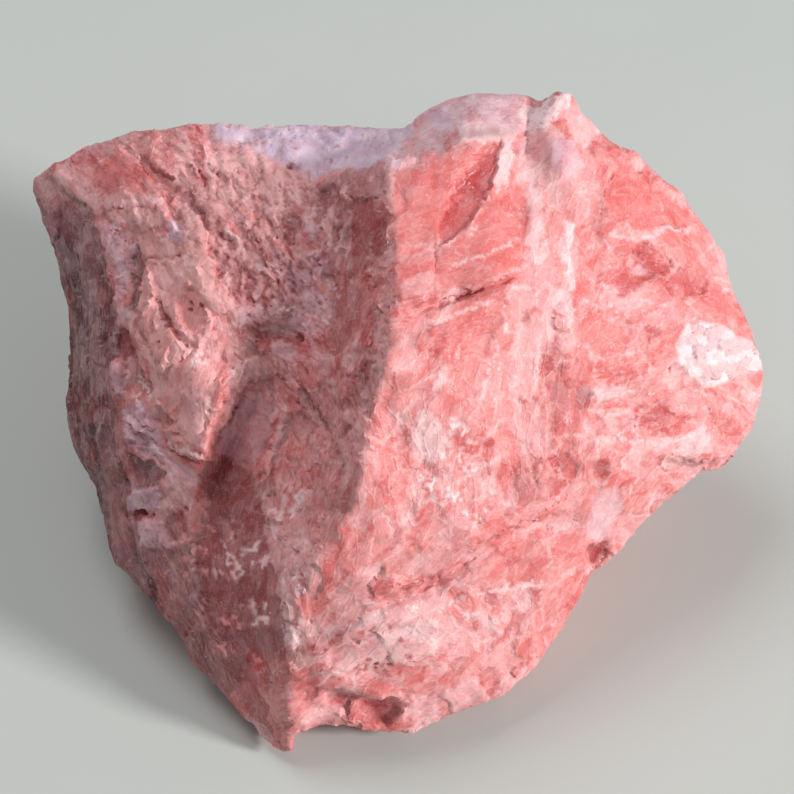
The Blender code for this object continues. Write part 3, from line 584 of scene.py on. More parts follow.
CALCITE = [(68.5, 32.2), (70.0, 31.9), (71.2, 32.1), (73.5, 33.3), (75.5, 34.2), (75.9, 35.2),
           (76.0, 36.5), (71.5, 38.7), (70.0, 38.5), (68.8, 37.8), (67.5, 36.6), (67.7, 35.0),
           (68.0, 33.8)]
BROW_RECESS = [(32.0, 69.7), (33.3, 68.8), (34.5, 69.5), (36.5, 70.2), (39.8, 70.0), (40.2, 71.2),
               (38.5, 72.5), (35.0, 72.0)]
BROAD_FACE = [(39.0, 15.0), (39.8, 30.0), (38.0, 38.5), (36.4, 44.0), (34.9, 51.0), (31.8, 55.6),
              (29.6, 62.0), (29.2, 70.0), (32.0, 76.0), (60.0, 76.0), (82.0, 50.0), (82.0, 20.0),
              (60.0, 8.0), (52.0, 16.0), (46.0, 15.5)]
FLAKY_SLOPE = [(19.0, 16.0), (33.0, 17.6), (34.6, 26.0), (32.5, 32.0), (27.0, 32.0), (22.5, 30.0),
               (20.6, 24.0)]
LUMP = [(13.0, 25.0), (16.0, 24.4), (19.6, 27.0), (21.4, 31.0), (24.6, 34.8), (24.4, 37.4),
        (21.4, 43.6), (19.8, 47.4), (16.0, 46.8), (13.4, 40.0), (12.8, 33.0)]
STEEP_SIDE = [(2.0, 16.0), (6.0, 16.6), (10.5, 22.0), (11.4, 30.0), (11.2, 40.0), (13.2, 49.0),
              (15.6, 57.0), (10.0, 60.0), (2.0, 40.0)]
DRUSE = [(21.0, 10.6), (41.4, 10.6), (41.2, 13.6), (38.6, 15.4), (36.5, 16.6), (34.5, 16.8),
         (31.8, 18.2), (29.0, 16.8), (25.0, 14.8), (21.5, 13.6)]
CREST = [(41.0, 15.0), (41.6, 11.4), (45.0, 8.0), (53.0, 7.6), (53.4, 12.0), (51.4, 14.0),
         (46.0, 14.6), (44.0, 15.6)]


# Plates with clean edges: (colour, strength, lift, calm, outline). A calm plate has little texture.
PLATES = {
    # Painted shade: umber darkens the steep face and the low left side.
    "steep face": ("shade_umber", 0.85, 0, 0.1, [
        (2.6, 17.8), (5, 17.2), (5.8, 18.4), (7.2, 19.6), (8.6, 20.4), (9.6, 21.6), (9.8, 23.2),
        (10.4, 25.2), (10.9, 27.6), (11.6, 30), (11.9, 32.6), (12.4, 35), (11.2, 36.2), (11, 38.6),
        (11.6, 42.4), (12.2, 45.6), (13.2, 48.4), (12.9, 50.6), (13.6, 53.8), (14.8, 57), (16, 60),
        (14, 64), (2, 62), (0, 30)]),
    "low left side": ("shade_umber", 0.5, 0, 0.2, [
        (13.2, 51), (16.6, 54.6), (19.8, 54.4), (20.4, 58.4), (23.4, 63), (25.4, 67.6), (22, 70),
        (14, 62)]),
    "steep face's rosy head": ("mauve", 0.8, 0.1, 0.3, [
        (2, 18.2), (4.6, 16.4), (6.4, 18), (6.2, 21.2), (5.4, 24.4), (3.2, 24)]),
    "steep face's red stripe": ("red", 0.4, -0.1, 0.4, [
        (6, 20), (7.4, 20.2), (7.2, 23.6), (6.2, 24.4), (5.8, 22)]),
    "steep face's pale rib": ("mauve", 0.4, 0.2, 0.3, [
        (5.2, 21), (5.8, 21), (5.9, 24), (6.3, 26), (5.6, 25.2)]),
    "steep face's low strip": ("mauve", 0.45, 0.1, 0.5, [
        (10.4, 44), (11.8, 46), (12.4, 50), (13.2, 55), (15.2, 59.6), (12, 58),
        (10.8, 52)]),
    "edge strip": ("pale", 0.7, 0.15, 0.3, [
        (5.4, 17.4), (6.4, 16.2), (7.4, 16.6), (8.6, 17.8), (9.8, 19.2), (10.3, 20.4), (10.4, 21.6),
        (9.8, 21.4), (8.8, 20.6), (7.4, 19.4), (6.2, 18.4)]),
    "top coral plate": ("coral", 0.85, -0.06, 0.8, [
        (9.4, 17), (10.4, 15.8), (13.4, 15.4), (14.6, 16.8), (15.6, 18.4), (16.6, 19.6), (14.4, 19.6),
        (12, 19.8), (10.2, 19.6), (9.6, 18.6)]),
    "rose strip by the plate": ("rose", 0.8, 0.05, 0.6, [
        (7.6, 16.6), (9.2, 16), (9.6, 18.4), (10.2, 19.6), (8.8, 18)]),
    "rosy slab under it": ("rose", 0.8, 0.08, 0.6, [
        (11.2, 18.9), (13.2, 18.4), (15, 19.6), (14, 20), (10.8, 19.4)]),
    "pale facet": ("pale", 0.85, 0.12, 0.5, [
        (10.3, 19.4), (13, 19.6), (15.4, 19.6), (16.4, 20.2), (15.2, 20.9), (12.6, 20.8),
        (10.6, 20.8)]),
    "lower pale facet": ("pale", 0.7, 0.1, 0.3, [
        (10.6, 21.2), (13.6, 21), (16.4, 21.2), (16.8, 22.2), (14.2, 22.8), (11.6, 22.6)]),
    "three-cornered slab": ("mauve", 0.7, 0.05, 0.8, [
        (14.4, 17.8), (15.2, 18.2), (16.4, 19.3), (15.3, 19.8), (14.6, 19)]),
    "dark gap": ("wine", 0.9, -0.3, 0.6, [
        (14, 15.2), (15, 15.8), (15.6, 17), (17, 17.7), (17.9, 18.8), (17.5, 19.6), (17.2, 20.8),
        (16.6, 19.4), (15.4, 17.9), (14.4, 16.8)]),
    "low dark gap": ("wine", 0.85, -0.25, 0.5, [
        (16.9, 20.2), (17.7, 20.6), (18.2, 21.8), (17.4, 22.1), (16.9, 21.6)]),
    "lavender flakes": ("lavender", 0.75, 0.1, 0.2, [
        (16.6, 22.3), (17.5, 22.1), (18.5, 23.4), (18.3, 24.3), (17, 24.2)]),
    "fan of pale threads": ("peach", 0.75, 0.1, 0.4, [
        (13.6, 23.6), (15.6, 22.8), (16.8, 24), (18.6, 25.2), (17.6, 25.9), (15.2, 25.8),
        (14, 25)]),
    "striped slab": ("mauve", 0.6, 0.2, 0.3, [
        (18.2, 17.4), (20, 18), (21.8, 20), (22.9, 22.4), (23.6, 24), (22, 23.7), (20.6, 22),
        (19.4, 19.8)]),
    "gap by the striped slab": ("wine", 0.85, -0.22, 0.3, [
        (18.8, 18.8), (19.4, 19.6), (20, 20.8), (20.7, 22.2), (21.1, 23.4), (20.3, 22.4),
        (19.3, 20.8)]),
    "tongue": ("peach", 0.75, 0.3, 0.75, [
        (18.7, 21.4), (20, 21.8), (20.8, 23.4), (20.9, 25.4), (21.5, 26.6), (21.6, 28), (21.1, 29),
        (22, 30.4), (22.8, 31.6), (20, 31.4), (18.2, 27.6), (18.6, 25.2), (18.3, 23.2)]),
    "shelf by the tongue": ("wine", 0.7, -0.3, 0.3, [
        (21.1, 24), (22.4, 23.4), (23.4, 24.2), (22.6, 26.4), (22.6, 28), (21.9, 27.8), (21.6, 26.4),
        (21, 25.6)]),
    "crown": ("peach", 0.7, 0.35, 0.2, [
        (15, 26.3), (17.6, 26), (19.6, 25.8), (20.9, 28.6), (21.2, 31), (21.4, 34), (19.8, 34.6),
        (17.9, 33.4), (16.6, 31), (15.2, 29.4), (14.5, 28)]),
    "crown's coral patch": ("coral", 0.45, 0, 0.4, [
        (17.6, 29), (19.4, 28.6), (20.6, 30.4), (20.4, 33.6), (19.4, 33.8), (18.2, 31.8)]),
    "crown's pale head": ("pale", 0.6, 0.1, 0.3, [
        (15.2, 26.8), (16.8, 26.6), (18, 28), (18.4, 29.6), (17, 29.8), (15.6, 28.4)]),
    "outer leaf": ("peach", 0.6, 0.45, 0.1, [
        (14, 30.2), (15.4, 29.8), (16.2, 31.2), (16.8, 32.8), (17.8, 34.2), (18.9, 35.3), (17.6, 36),
        (16.2, 37.5), (15.3, 36.9), (14.2, 35.6), (13.6, 34.2), (14, 33), (14.2, 31.6)]),
    "outer leaf's rim": ("pale", 0.5, 0.2, 0.1, [
        (13.9, 33.2), (14.6, 32.9), (15.7, 35), (16, 37.2), (15.1, 36.6), (14, 35.2)]),
    "grey crust": ("smoke", 0.7, 0.1, 0, [
        (9.9, 21.6), (11.4, 22.3), (13, 23.6), (13.8, 25.4), (13.2, 26.2), (13, 28), (12.4, 30.2),
        (11.7, 28.6), (11.2, 26.2), (10.3, 24.2)]),
    # Painted shade in the cleft and the dark hollow beside the lump, and along the arris below them.
    "cleft beside the lump": ("shade_umber", 0.8, -0.3, 0, [
        (13.7, 24.4), (14.5, 26.4), (13.9, 28.4), (13.9, 30.4), (13.4, 31.3), (12.7, 30.9), (13.2, 28.2),
        (13.1, 26)]),
    "nub beside the lump": ("smoke", 0.6, 0.2, 0.4, [
        (12, 30.9), (12.8, 30.7), (13.1, 31.6), (12.5, 32.3), (11.9, 31.8)]),
    "dark hollow beside the lump": ("wine", 0.85, -0.2, 0, [
        (12, 32.5), (13, 33.4), (13.3, 35.2), (14.1, 37), (15.3, 38.9), (14.6, 39.7), (13.3, 38.2),
        (12.4, 36), (11.8, 34.6)]),
    "arris's painted shade": ("wine", 0.65, 0, 0.2, [
        (11, 36.6), (12, 38.6), (12.9, 42), (13.5, 46), (14, 49), (13.2, 49.4), (12.2, 45.6),
        (11.4, 42.4)]),
    "pale bump": ("smoke", 0.6, 0.3, 0.3, [
        (11.5, 36), (12.4, 36.4), (12.9, 37.6), (12.7, 39), (12.3, 39.7), (11.6, 39),
        (11.1, 37.6)]),
    "lit face": ("rose", 0.5, 0.15, 0.1, [
        (15.6, 37.6), (17.8, 36.2), (20, 35.2), (22.8, 36.2), (22.6, 38.6), (22.2, 40.4), (22.4, 41.4),
        (21.4, 43.6), (21, 45.9), (19.6, 46), (18, 45.2), (16.6, 43.8), (15.7, 41.6),
        (15.2, 39.4)]),
    "lit face's pale heart": ("pale", 0.7, 0.08, 0.1, [
        (18.4, 38.8), (20.6, 38.8), (21.6, 40.4), (20.4, 42.4), (20.6, 44.8), (18.2, 44.2), (17, 42.4),
        (18.2, 41)]),
    "shadowed fold": ("wine", 0.6, -0.3, 0.4, [
        (15.4, 40.4), (16.6, 41.2), (17.5, 42.4), (16.2, 42.9), (15.2, 41.8)]),
    # The bright blades are partly painted glints.
    "bright blades": ("pale", 0.8, 0.2, 0, [
        (22.8, 38.6), (23.4, 37.2), (24.4, 36), (25.4, 35.4), (25.9, 36.4), (25.9, 37.8), (24, 39.8),
        (22.4, 42.8), (21.8, 42.8), (22.4, 40.6)]),
    "silvery folds": ("lavender", 0.45, 0, 0, [
        (12.3, 41), (14, 40), (15.4, 41.6), (16.3, 43.8), (16.3, 45.8), (14.6, 45.2), (13.1, 44.6),
        (12.7, 43)]),
    # Painted shade in this sunken corner.
    "umber corner": ("shade_umber", 0.75, -0.3, 0.4, [
        (12.9, 45.2), (15, 46), (16.5, 47.4), (15.8, 48.5), (13.7, 48.9)]),
    "silver streak": ("smoke", 0.6, 0.15, 0.1, [
        (15.8, 44.4), (18, 46.3), (19.9, 47.3), (19.8, 48.6), (17.4, 48.4), (16.5, 47)]),
    "blushing slope": ("pale", 0.6, 0.1, 0.2, [
        (16.5, 47.6), (19.6, 48.6), (19.7, 49.6), (19.2, 51), (17.4, 51.2), (16.4, 50)]),
    "silvery nub": ("lavender", 0.6, 0.3, 0.1, [
        (13, 49.2), (14.2, 48.8), (16, 48.5), (16.1, 50.8), (13.1, 50.9)]),
    "silver under the nub": ("smoke", 0.6, 0.1, 0, [
        (13.8, 52.1), (15.4, 51.8), (16.6, 53), (17.8, 54.8), (16.2, 55), (14.3, 54.4)]),
    "brown crumbs": ("wine", 0.55, -0.1, 0.2, [
        (16.4, 50.8), (18.4, 51.4), (18.8, 53.6), (17.4, 54.4), (16.4, 52.8)]),
    "pale rim of the slope": ("pale", 0.6, 0.1, 0.4, [
        (20.2, 16.2), (23, 15.4), (27.6, 16), (31, 17.2), (31.4, 18.4), (30, 19.4), (27.6, 20),
        (25.4, 19.5), (22.6, 20), (21.2, 18.4)]),
    "slope's rosy field": ("rose", 0.5, 0.1, 0.2, [
        (22.6, 20.2), (25.4, 19.9), (27.8, 22), (29.6, 25.2), (28, 26), (24.8, 24.6),
        (22.8, 22)]),
    "slope's red plate": ("wine", 0.85, -0.2, 0.6, [
        (22.8, 26.8), (24.4, 26.2), (25.8, 27.4), (27, 28.6), (26.4, 29.6), (24.4, 29.8),
        (23, 29.4)]),
    "slope's mauve plate": ("mauve", 0.7, -0.1, 0.5, [
        (22.8, 24.2), (24.6, 24.6), (26.6, 26.6), (26.2, 27.6), (24.4, 26), (22.9, 26.6)]),
    "brown crumbs of the slope": ("wine", 0.8, -0.3, 0.2, [
        (26.7, 22), (28, 22.8), (29, 23.4), (29.6, 24.4), (28.4, 24.4), (27.2, 23.6)]),
    "red crumb": ("wine", 0.8, -0.3, 0.4, [
        (28.4, 21.4), (30, 21.4), (30.2, 23.4), (29.2, 23.4), (28.2, 22.2)]),
    "pale chip": ("pale", 0.9, 0.3, 0.6, [
        (26.7, 20.8), (27.4, 20.8), (28, 21.5), (27.3, 22), (26.5, 21.7)]),
    "grey chip": ("smoke", 0.7, 0.25, 0.4, [
        (30.1, 22), (31, 21.8), (31.9, 22.6), (31.6, 24.2), (30.3, 23.4)]),
    "second grey chip": ("smoke", 0.8, 0.3, 0.5, [
        (30.8, 25.2), (31.6, 25), (32.1, 26), (31.2, 26.4)]),
    "third grey chip": ("smoke", 0.75, 0.3, 0.5, [
        (31.8, 26.3), (33.2, 26), (33.1, 27.3), (32, 27.4)]),
    "grey strips": ("smoke", 0.5, 0.1, 0, [
        (27, 24.8), (28.6, 25.4), (32.2, 29.6), (32.4, 31.6), (29.4, 29.8), (27.2, 27.4)]),
    "chalky fuzz": ("smoke", 0.6, 0.05, 0, [
        (23.4, 31), (25.4, 30.6), (28.6, 30.4), (30.8, 31.8), (32.6, 32.8), (31, 33.8), (29, 32.4),
        (25.6, 32.4), (23.4, 32.4)]),
    "shelf's shadow": ("wine", 0.5, -0.04, 0, [
        (22.6, 32.7), (25.6, 32.5), (28.6, 32.5), (30.2, 33.6), (30, 34.6), (27.6, 34), (26, 33.8),
        (25.8, 35.2), (24.4, 35.8), (22.8, 34.6)]),
    "lilac in the hollow": ("smoke", 0.5, 0, 0.4, [
        (26.9, 34.2), (29.2, 34.2), (30.2, 35.8), (28.6, 36.2), (27, 35.2)]),
    "wall's head": ("mauve", 0.8, 0.15, 0.6, [
        (31.8, 18.6), (33, 17.6), (34.6, 17.2), (36.4, 17.2), (37.8, 16), (38.6, 16.4), (38.5, 19.2),
        (37, 20), (35.2, 19.6), (34.2, 18.6), (32.2, 20.2)]),
    # The wall's left face is partly its own dark red and partly painted shade.
    "wall's left face": ("wine", 0.85, -0.15, 0.6, [
        (31.9, 19.2), (33.4, 18.4), (34.4, 20), (34.9, 21.6), (34.2, 24.8), (33.4, 25),
        (32.6, 22.4)]),
    "wall's red face": ("red", 0.55, -0.15, 0.75, [
        (35.1, 19.8), (37.4, 20), (37.2, 23), (36.6, 25.6), (35.6, 28.4), (34.8, 26.4),
        (35.2, 22.4)]),
    "wall's bright red stripe": ("red", 0.75, -0.1, 0.8, [
        (37.3, 20), (38.2, 19.8), (39.2, 21.2), (38.6, 24), (38.3, 25.6), (36.9, 25.4),
        (37.3, 22.6)]),
    "wall's pale rib": ("pale", 0.6, 0.35, 0.4, [
        (33.9, 17.8), (34.5, 18.2), (35, 19.6), (35.1, 21), (34.6, 20.2), (33.9, 18.6)]),
    "wall's second rib": ("mauve", 0.7, 0.35, 0.4, [
        (34.9, 21.4), (35.2, 22), (34.6, 24.8), (33.9, 25.2), (34.2, 23)]),
    "wall's third rib": ("pale", 0.5, 0.3, 0.4, [(33.2, 21.2), (33.9, 21.8), (34, 22.8), (33.4, 22.6)]),
    "wall's fourth rib": ("pale", 0.5, 0.3, 0.4, [
        (38.9, 22.2), (39.1, 22.8), (38.7, 24.6), (38.4, 23.8)]),
    # The wall's low plate is partly painted shade.
    "wall's low plate": ("wine", 0.5, 0, 0.7, [
        (33.2, 28.4), (35, 28), (36.4, 29.4), (36, 33), (34, 35.6), (32.8, 33.6)]),
    "arris's pale tooth": ("pale", 0.7, 0.15, 0.5, [
        (38.6, 16.2), (39.4, 16), (39.4, 18.8), (39.8, 20.6), (39.2, 21.1), (38.6, 19.4)]),
    "arris's red notch": ("red", 0.7, -0.45, 0.4, [
        (39.5, 19.6), (40.2, 19.9), (40.1, 20.9), (39.6, 20.7)]),
    "grey slope of the hollow": ("smoke", 0.5, 0, 0.85, [
        (23.6, 41), (25.8, 39.6), (27.4, 40.8), (27, 43.6), (25.6, 46.6), (24, 46), (21.8, 45.4),
        (22.4, 43)]),
    "wine plain": ("wine", 0.8, -0.1, 0.7, [
        (20.4, 46), (22.8, 46.1), (24.8, 46.6), (25.6, 48.2), (26.2, 50.4), (27.2, 52.8), (28.4, 54.8),
        (28.8, 57), (28.6, 61), (28.4, 66), (26, 66.4), (22.6, 62.4), (20.4, 59.6), (19.6, 56.6),
        (19.9, 53.6), (21.2, 50.2), (20, 48.6)]),
    "hollow's rib": ("pale", 0.6, 0.4, 0.3, [
        (28.4, 40.8), (29.2, 41), (28.5, 43.4), (27.7, 45.4), (27, 47.2), (26.5, 48.4), (26.2, 47.9),
        (26.8, 45.8), (27.6, 43.2)]),
    "rosy strip by the rib": ("coral", 0.5, 0.05, 0.5, [
        (29.3, 42.4), (29.6, 45), (28.4, 47.8), (27.6, 47), (28.3, 45)]),
    "ragged pale line": ("pale", 0.75, 0.25, 0.2, [
        (25.7, 50.1), (26.9, 50.8), (27.5, 52.2), (28.6, 53.8), (29.5, 55), (29, 55.1), (27.6, 53.4),
        (26.8, 51.6)]),
    "plate in the flecks": ("mauve", 0.45, 0.1, 0.6, [
        (23.6, 52.2), (24.4, 52.4), (25, 53.8), (24.4, 55), (23.4, 53.8)]),
    "red hollow": ("red", 0.5, -0.1, 0.6, [
        (22, 62.4), (24.6, 62.8), (27.4, 66.4), (27, 68.4), (24.6, 67.6)]),
    "bright red spot": ("deep", 1, -0.15, 0.9, [
        (24.7, 65.5), (25.8, 65.4), (26.6, 67), (25.8, 67.6), (24.9, 66.8)]),
    # The pale ridge is partly its own pale crystal and partly painted light along its lit crest.
    "pale ridge of the rough band": ("pale", 0.6, 0.25, 0, [
        (26, 49.4), (27.4, 49.8), (29, 54.4), (29.8, 58.6), (29.4, 62), (29.6, 66), (28.9, 66.4),
        (28, 60), (26.8, 54)]),
    # The rosy toe is partly painted light on the tip; the dark side of the toe below it is painted shade.
    "rosy toe": ("rose", 0.75, 0.1, 0.5, [
        (26, 69), (28.4, 68.6), (30.4, 69.6), (30.2, 72.6), (29.3, 75.2), (27.2, 73.8)]),
    "toe's shaded side": ("wine", 0.5, -0.1, 0.4, [
        (23, 66.4), (25.4, 67.8), (26.6, 70.6), (27.4, 74), (24.4, 70.6)]),
    "coral plate": ("coral", 0.75, 0.10, 0.6, [
        (39.6, 17), (42, 16.6), (45.6, 15.8), (49.7, 14.1), (46, 18.2), (44.3, 21.6),
        (43.5, 24.6), (43.4, 29.2), (40.2, 30.6), (39.3, 29), (39.2, 22)]),
    "long facet": ("deep", 1, -0.3, 0.95, [
        (50, 14), (49.5, 17.6), (48.7, 19.4), (47.4, 21.6), (45.8, 23.3), (44, 24.3),
        (43.8, 22.8), (44.9, 20.2), (46.2, 18.2), (48, 16)]),
    "second coral plate": ("coral", 0.8, -0.1, 0.7, [
        (48.9, 19.8), (51.6, 18.3), (52.7, 19.2), (52.7, 24), (52.4, 26.4), (48, 28.2),
        (43.8, 29.4), (43.8, 26.2), (44.4, 24.6), (46.8, 23.2)]),
    "deep square": ("deep", 0.7, -0.12, 0.5, [(51.4, 20.6), (52.9, 20.4), (52.8, 22.6), (51.5, 22.4)]),
    "pale strip": ("pale", 0.6, 0.1, 0.3, [
        (40.2, 28.2), (43.2, 27.2), (43.3, 28.8), (40.2, 30.2)]),
    "white band": ("white", 0.5, 0.1, 0, [
        (53, 18.4), (54.3, 19), (54.1, 22.2), (54.9, 24.2), (54.3, 26.7), (53, 26.3),
        (52.8, 21.6)]),
    "white streak": ("white", 0.9, 0.08, 0, [
        (56.5, 22), (57.3, 22.4), (57.1, 25.6), (57.6, 28.6), (56.7, 29), (56.3, 25.6)]),
    "white splash": ("white", 0.6, 0.08, 0, [
        (55, 28.4), (56.8, 29.2), (57.4, 31), (56.9, 33), (56, 31.4), (54.6, 30.2)]),
    "crest's body": ("smoke", 0.8, 0.1, 0.2, [
        (41.6, 15.1), (41.8, 11.6), (44, 9), (48, 8), (52.2, 8.4), (52.6, 11.4), (52.6, 13),
        (51.4, 13.2), (50.2, 12.4), (47.6, 12), (45.8, 12.8), (44.2, 14.8)]),
    "crest's pale plate": ("paler", 0.75, 0.12, 0.9, [
        (46, 12.9), (47.5, 12), (50.3, 12.3), (51.5, 13.3), (51.3, 15.8), (50.7, 18.2), (49.3, 20),
        (49.6, 17), (50.1, 14.1), (47.8, 14.3), (46.2, 14)]),
    "lavender chip": ("lavender", 0.6, 0.15, 0.7, [
        (43, 11.2), (44.7, 11), (45.3, 12.4), (44.3, 13.6), (43.2, 12.8)]),
    "white corner": ("white", 0.7, 0.2, 0.5, [
        (51.4, 10.2), (54, 11.2), (54.9, 10.2), (54.1, 12.4), (52.3, 12.4)]),
    "frosted slab": ("paler", 0.55, -0.02, 0.2, [
        (52.8, 13.2), (55.2, 12.2), (56.6, 13.6), (56.1, 16), (55.6, 19), (53.4, 18.4), (51.5, 18.2),
        (52, 15)]),
    "ridge's white face": ("white", 0.85, 0.1, 0.5, [
        (52.5, 13.1), (53.6, 11.6), (55, 9.6), (57.2, 9.3), (57, 10.4), (55.8, 11.4), (54.4, 12.9),
        (53.4, 13.6)]),
    "lilac lump": ("lavender", 0.4, 0.1, 0.6, [
        (55, 14), (57.4, 13.8), (58.2, 16.2), (56.6, 17.8), (55.1, 16.2)]),
    "rosy tip": ("pale", 0.75, 0, 0.5, [
        (56.4, 10.8), (58, 9.9), (59.8, 13.2), (58.6, 15.2), (56.8, 13.4)]),
    "shoulder facet": ("coral", 0.85, -0.22, 0.8, [
        (61.5, 17.1), (64, 18.2), (66.6, 19.4), (69.1, 21.2), (69.2, 22.6), (66.4, 22.7), (64.8, 23.1),
        (62.4, 22.2), (60.6, 20)]),
    "second shoulder facet": ("coral", 0.65, -0.1, 0.6, [
        (66, 23), (69.6, 23), (71.8, 26), (71.4, 27.8), (67.6, 26.2), (65.2, 25)]),
    "shell hollow": ("deep", 0.7, -0.28, 0.3, [
        (62.4, 25.8), (64.4, 24.3), (66.4, 25.2), (67.2, 26.8), (64.4, 28.2), (62, 29.8),
        (61.6, 27.8)]),
    "second shell hollow": ("deep", 0.6, -0.3, 0.6, [
        (66.2, 27.8), (68.8, 26.5), (71.1, 27.8), (70.6, 29.2), (68.2, 30), (66.6, 29)]),
    "upright coral patch": ("coral", 0.8, -0.2, 0.4, [
        (57.6, 22.8), (59.6, 21.8), (60.6, 24.8), (59.4, 29.6), (57.6, 29.2), (58.2, 26)]),
    "coral under the shoulder": ("coral", 0.7, -0.1, 0.4, [
        (57.4, 31.2), (61.8, 31), (63, 34.2), (60.2, 35.8), (57.6, 33.8)]),
    "red spot": ("deep", 0.9, -0.15, 0.2, [(64.4, 32.5), (66, 32.8), (65.9, 34.1), (64.9, 34.3)]),
    "coral over the crust": ("coral", 0.6, 0.1, 0.6, [
        (67.6, 30.2), (71.6, 30), (74.2, 31.8), (70.2, 31.4), (68.4, 31.9)]),
    "rhomb patch": ("deep", 0.5, -0.14, 0.3, [
        (53.8, 35.4), (55.6, 33.4), (56.6, 35.8), (55.4, 38.8), (54.4, 38.6)]),
    "second rhomb patch": ("deep", 0.55, -0.14, 0.3, [
        (54.4, 38), (57.6, 37.8), (58.2, 40.4), (57.8, 42.4), (56.6, 44.2), (54.6, 43.2),
        (54.8, 40.6)]),
    "layered strip": ("white", 0.5, 0.12, 0.1, [(58.2, 38.8), (62, 38.6), (63.4, 39.4), (59.6, 40)]),
    "second layered strip": ("white", 0.4, 0.12, 0.1, [
        (58.6, 40.8), (62.6, 40.8), (63.6, 41.6), (60, 41.8)]),
    "red square": ("deep", 0.8, -0.25, 0.5, [
        (54.8, 45.5), (56.8, 45.4), (58, 46.6), (57.2, 48.2), (55.6, 47.2)]),
    "second red square": ("deep", 0.85, -0.2, 0.5, [
        (59, 46), (60.9, 46.2), (60.8, 48.1), (59.2, 47.7)]),
    "deep patch": ("deep", 0.7, -0.2, 0.3, [
        (63.4, 40.8), (66, 40.2), (67.4, 41.6), (65, 43.3), (63.6, 42.4)]),
    "rosy block": ("rose", 0.6, 0.2, 0.6, [(66.6, 39.4), (70.2, 39.4), (70, 41.8), (66.8, 41.4)]),
    "pale chip at the right": ("white", 0.5, 0.12, 0.3, [
        (68.4, 43.2), (70.4, 42.8), (71.2, 45), (69.4, 46), (68, 45.2)]),
    "grey patch": ("smoke", 0.35, -0.05, 0.6, [
        (59.4, 49.6), (61.6, 48.8), (62.4, 50.8), (60.4, 54), (58.8, 53.6)]),
    "middle plate": ("coral", 0.72, -0.12, 0.7, [
        (44.4, 31.8), (47.6, 30.4), (50.6, 29.2), (50.7, 31.2), (49.5, 33.2), (48.3, 36), (47.1, 39.8),
        (44.4, 41.2), (43.6, 40.4), (45, 37), (45.8, 34.4)]),
    "second middle plate": ("coral", 0.5, 0, 0.6, [
        (50.9, 31.4), (51.5, 32), (50.9, 36), (50.4, 39), (47.7, 40.6), (48.9, 36.2),
        (49.8, 33.2)]),
    "pale plate": ("pale", 0.55, 0.1, 0.6, [
        (51.4, 32.6), (54, 31.2), (53.8, 38), (53.2, 40.4), (50.8, 39.4)]),
    "deep dash": ("deep", 0.6, -0.15, 0.3, [(43.3, 34), (44.3, 33), (44.4, 34.2), (43.5, 34.7)]),
    "second deep dash": ("deep", 0.6, -0.15, 0.3, [
        (42.5, 36.8), (43.6, 35), (43.8, 35.8), (43, 37.4)]),
    "third deep dash": ("deep", 0.4, -0.1, 0.3, [(45, 33), (46.4, 32.2), (46.2, 36), (45.4, 37.4)]),
    "coral by the arris": ("coral", 0.55, 0, 0.5, [
        (38.4, 37.6), (40.8, 36.8), (41.6, 39), (40.6, 41), (38, 41.6)]),
    "low coral by the arris": ("coral", 0.65, 0, 0.4, [
        (37.4, 44), (40.8, 43), (41.6, 46), (40.2, 50.4), (37, 51.2), (36.4, 47.4)]),
    "red glass at the right": ("red", 0.7, -0.2, 0.8, [
        (58.9, 54.6), (60.5, 54.2), (61.3, 55.6), (59.7, 57), (58.8, 56.2)]),
    "leaf-shaped coral": ("coral", 0.6, -0.1, 0.4, [
        (49.2, 42.4), (51.4, 43.2), (52.4, 46.6), (51.2, 49), (49.9, 46.8)]),
    "dull leaf": ("mauve", 0.35, -0.15, 0.3, [
        (51.4, 46.6), (53.4, 45.8), (54.2, 49), (53.4, 51), (51, 50.6)]),
    "chalky patch": ("white", 0.5, 0.04, 0, [
        (41, 42.4), (42.4, 40.6), (44, 42), (44.8, 44.4), (43.6, 46.6), (41.8, 46),
        (40.8, 44.4)]),
    "band over the low crack": ("deep", 0.5, -0.2, 0.3, [
        (38, 59.6), (41, 58), (44.6, 57), (46.6, 56), (47.2, 57.4), (44.2, 58.6),
        (41, 59.4), (38.4, 60.3)]),
    "coral under the low crack": ("coral", 0.7, 0.05, 0.6, [
        (49.4, 55.2), (53.6, 53.2), (57.2, 52.8), (58.6, 55.6), (55.6, 58.2), (51.6, 58.4),
        (49, 57.8)]),
    "deep spot under the crack": ("deep", 0.6, -0.1, 0.4, [
        (50, 55.6), (51.2, 54.6), (52, 56.4), (50.6, 57.2)]),
    "coral at the lower right": ("coral", 0.6, -0.1, 0.4, [
        (55.2, 58.6), (57.6, 57.6), (56.8, 61), (54, 64.6), (53.4, 62)]),
    # The slabs are partly painted light, where they face down.
    "slab": ("pale", 0.7, 0.2, 0.6, [
        (38.4, 61), (44.8, 59.2), (45.3, 60.2), (43, 61.6), (38.4, 62.4)]),
    "second slab": ("paler", 0.6, 0.2, 0.4, [(37.6, 63.2), (43, 61.9), (44, 62.9), (38.4, 64.5)]),
    "third slab": ("paler", 0.55, 0.2, 0.3, [
        (39, 65), (43.4, 63.6), (43.6, 65.2), (41, 66.6), (39.2, 66.4)]),
    "toe block": ("pale", 0.7, 0.25, 0.5, [(43.8, 69.2), (47.6, 67.4), (48.8, 69.6), (45.4, 71.2)]),
    "dark toe": ("deep", 0.5, -0.2, 0.4, [(47.4, 67.6), (49.4, 66.6), (50.2, 68.8), (49, 69.8)]),
    "white vein": ("white", 0.6, 0.1, 0.1, [
        (46.4, 61), (48.6, 61.6), (50.6, 63), (50.2, 63.6), (48.2, 62.6), (46.2, 61.6)]),
}

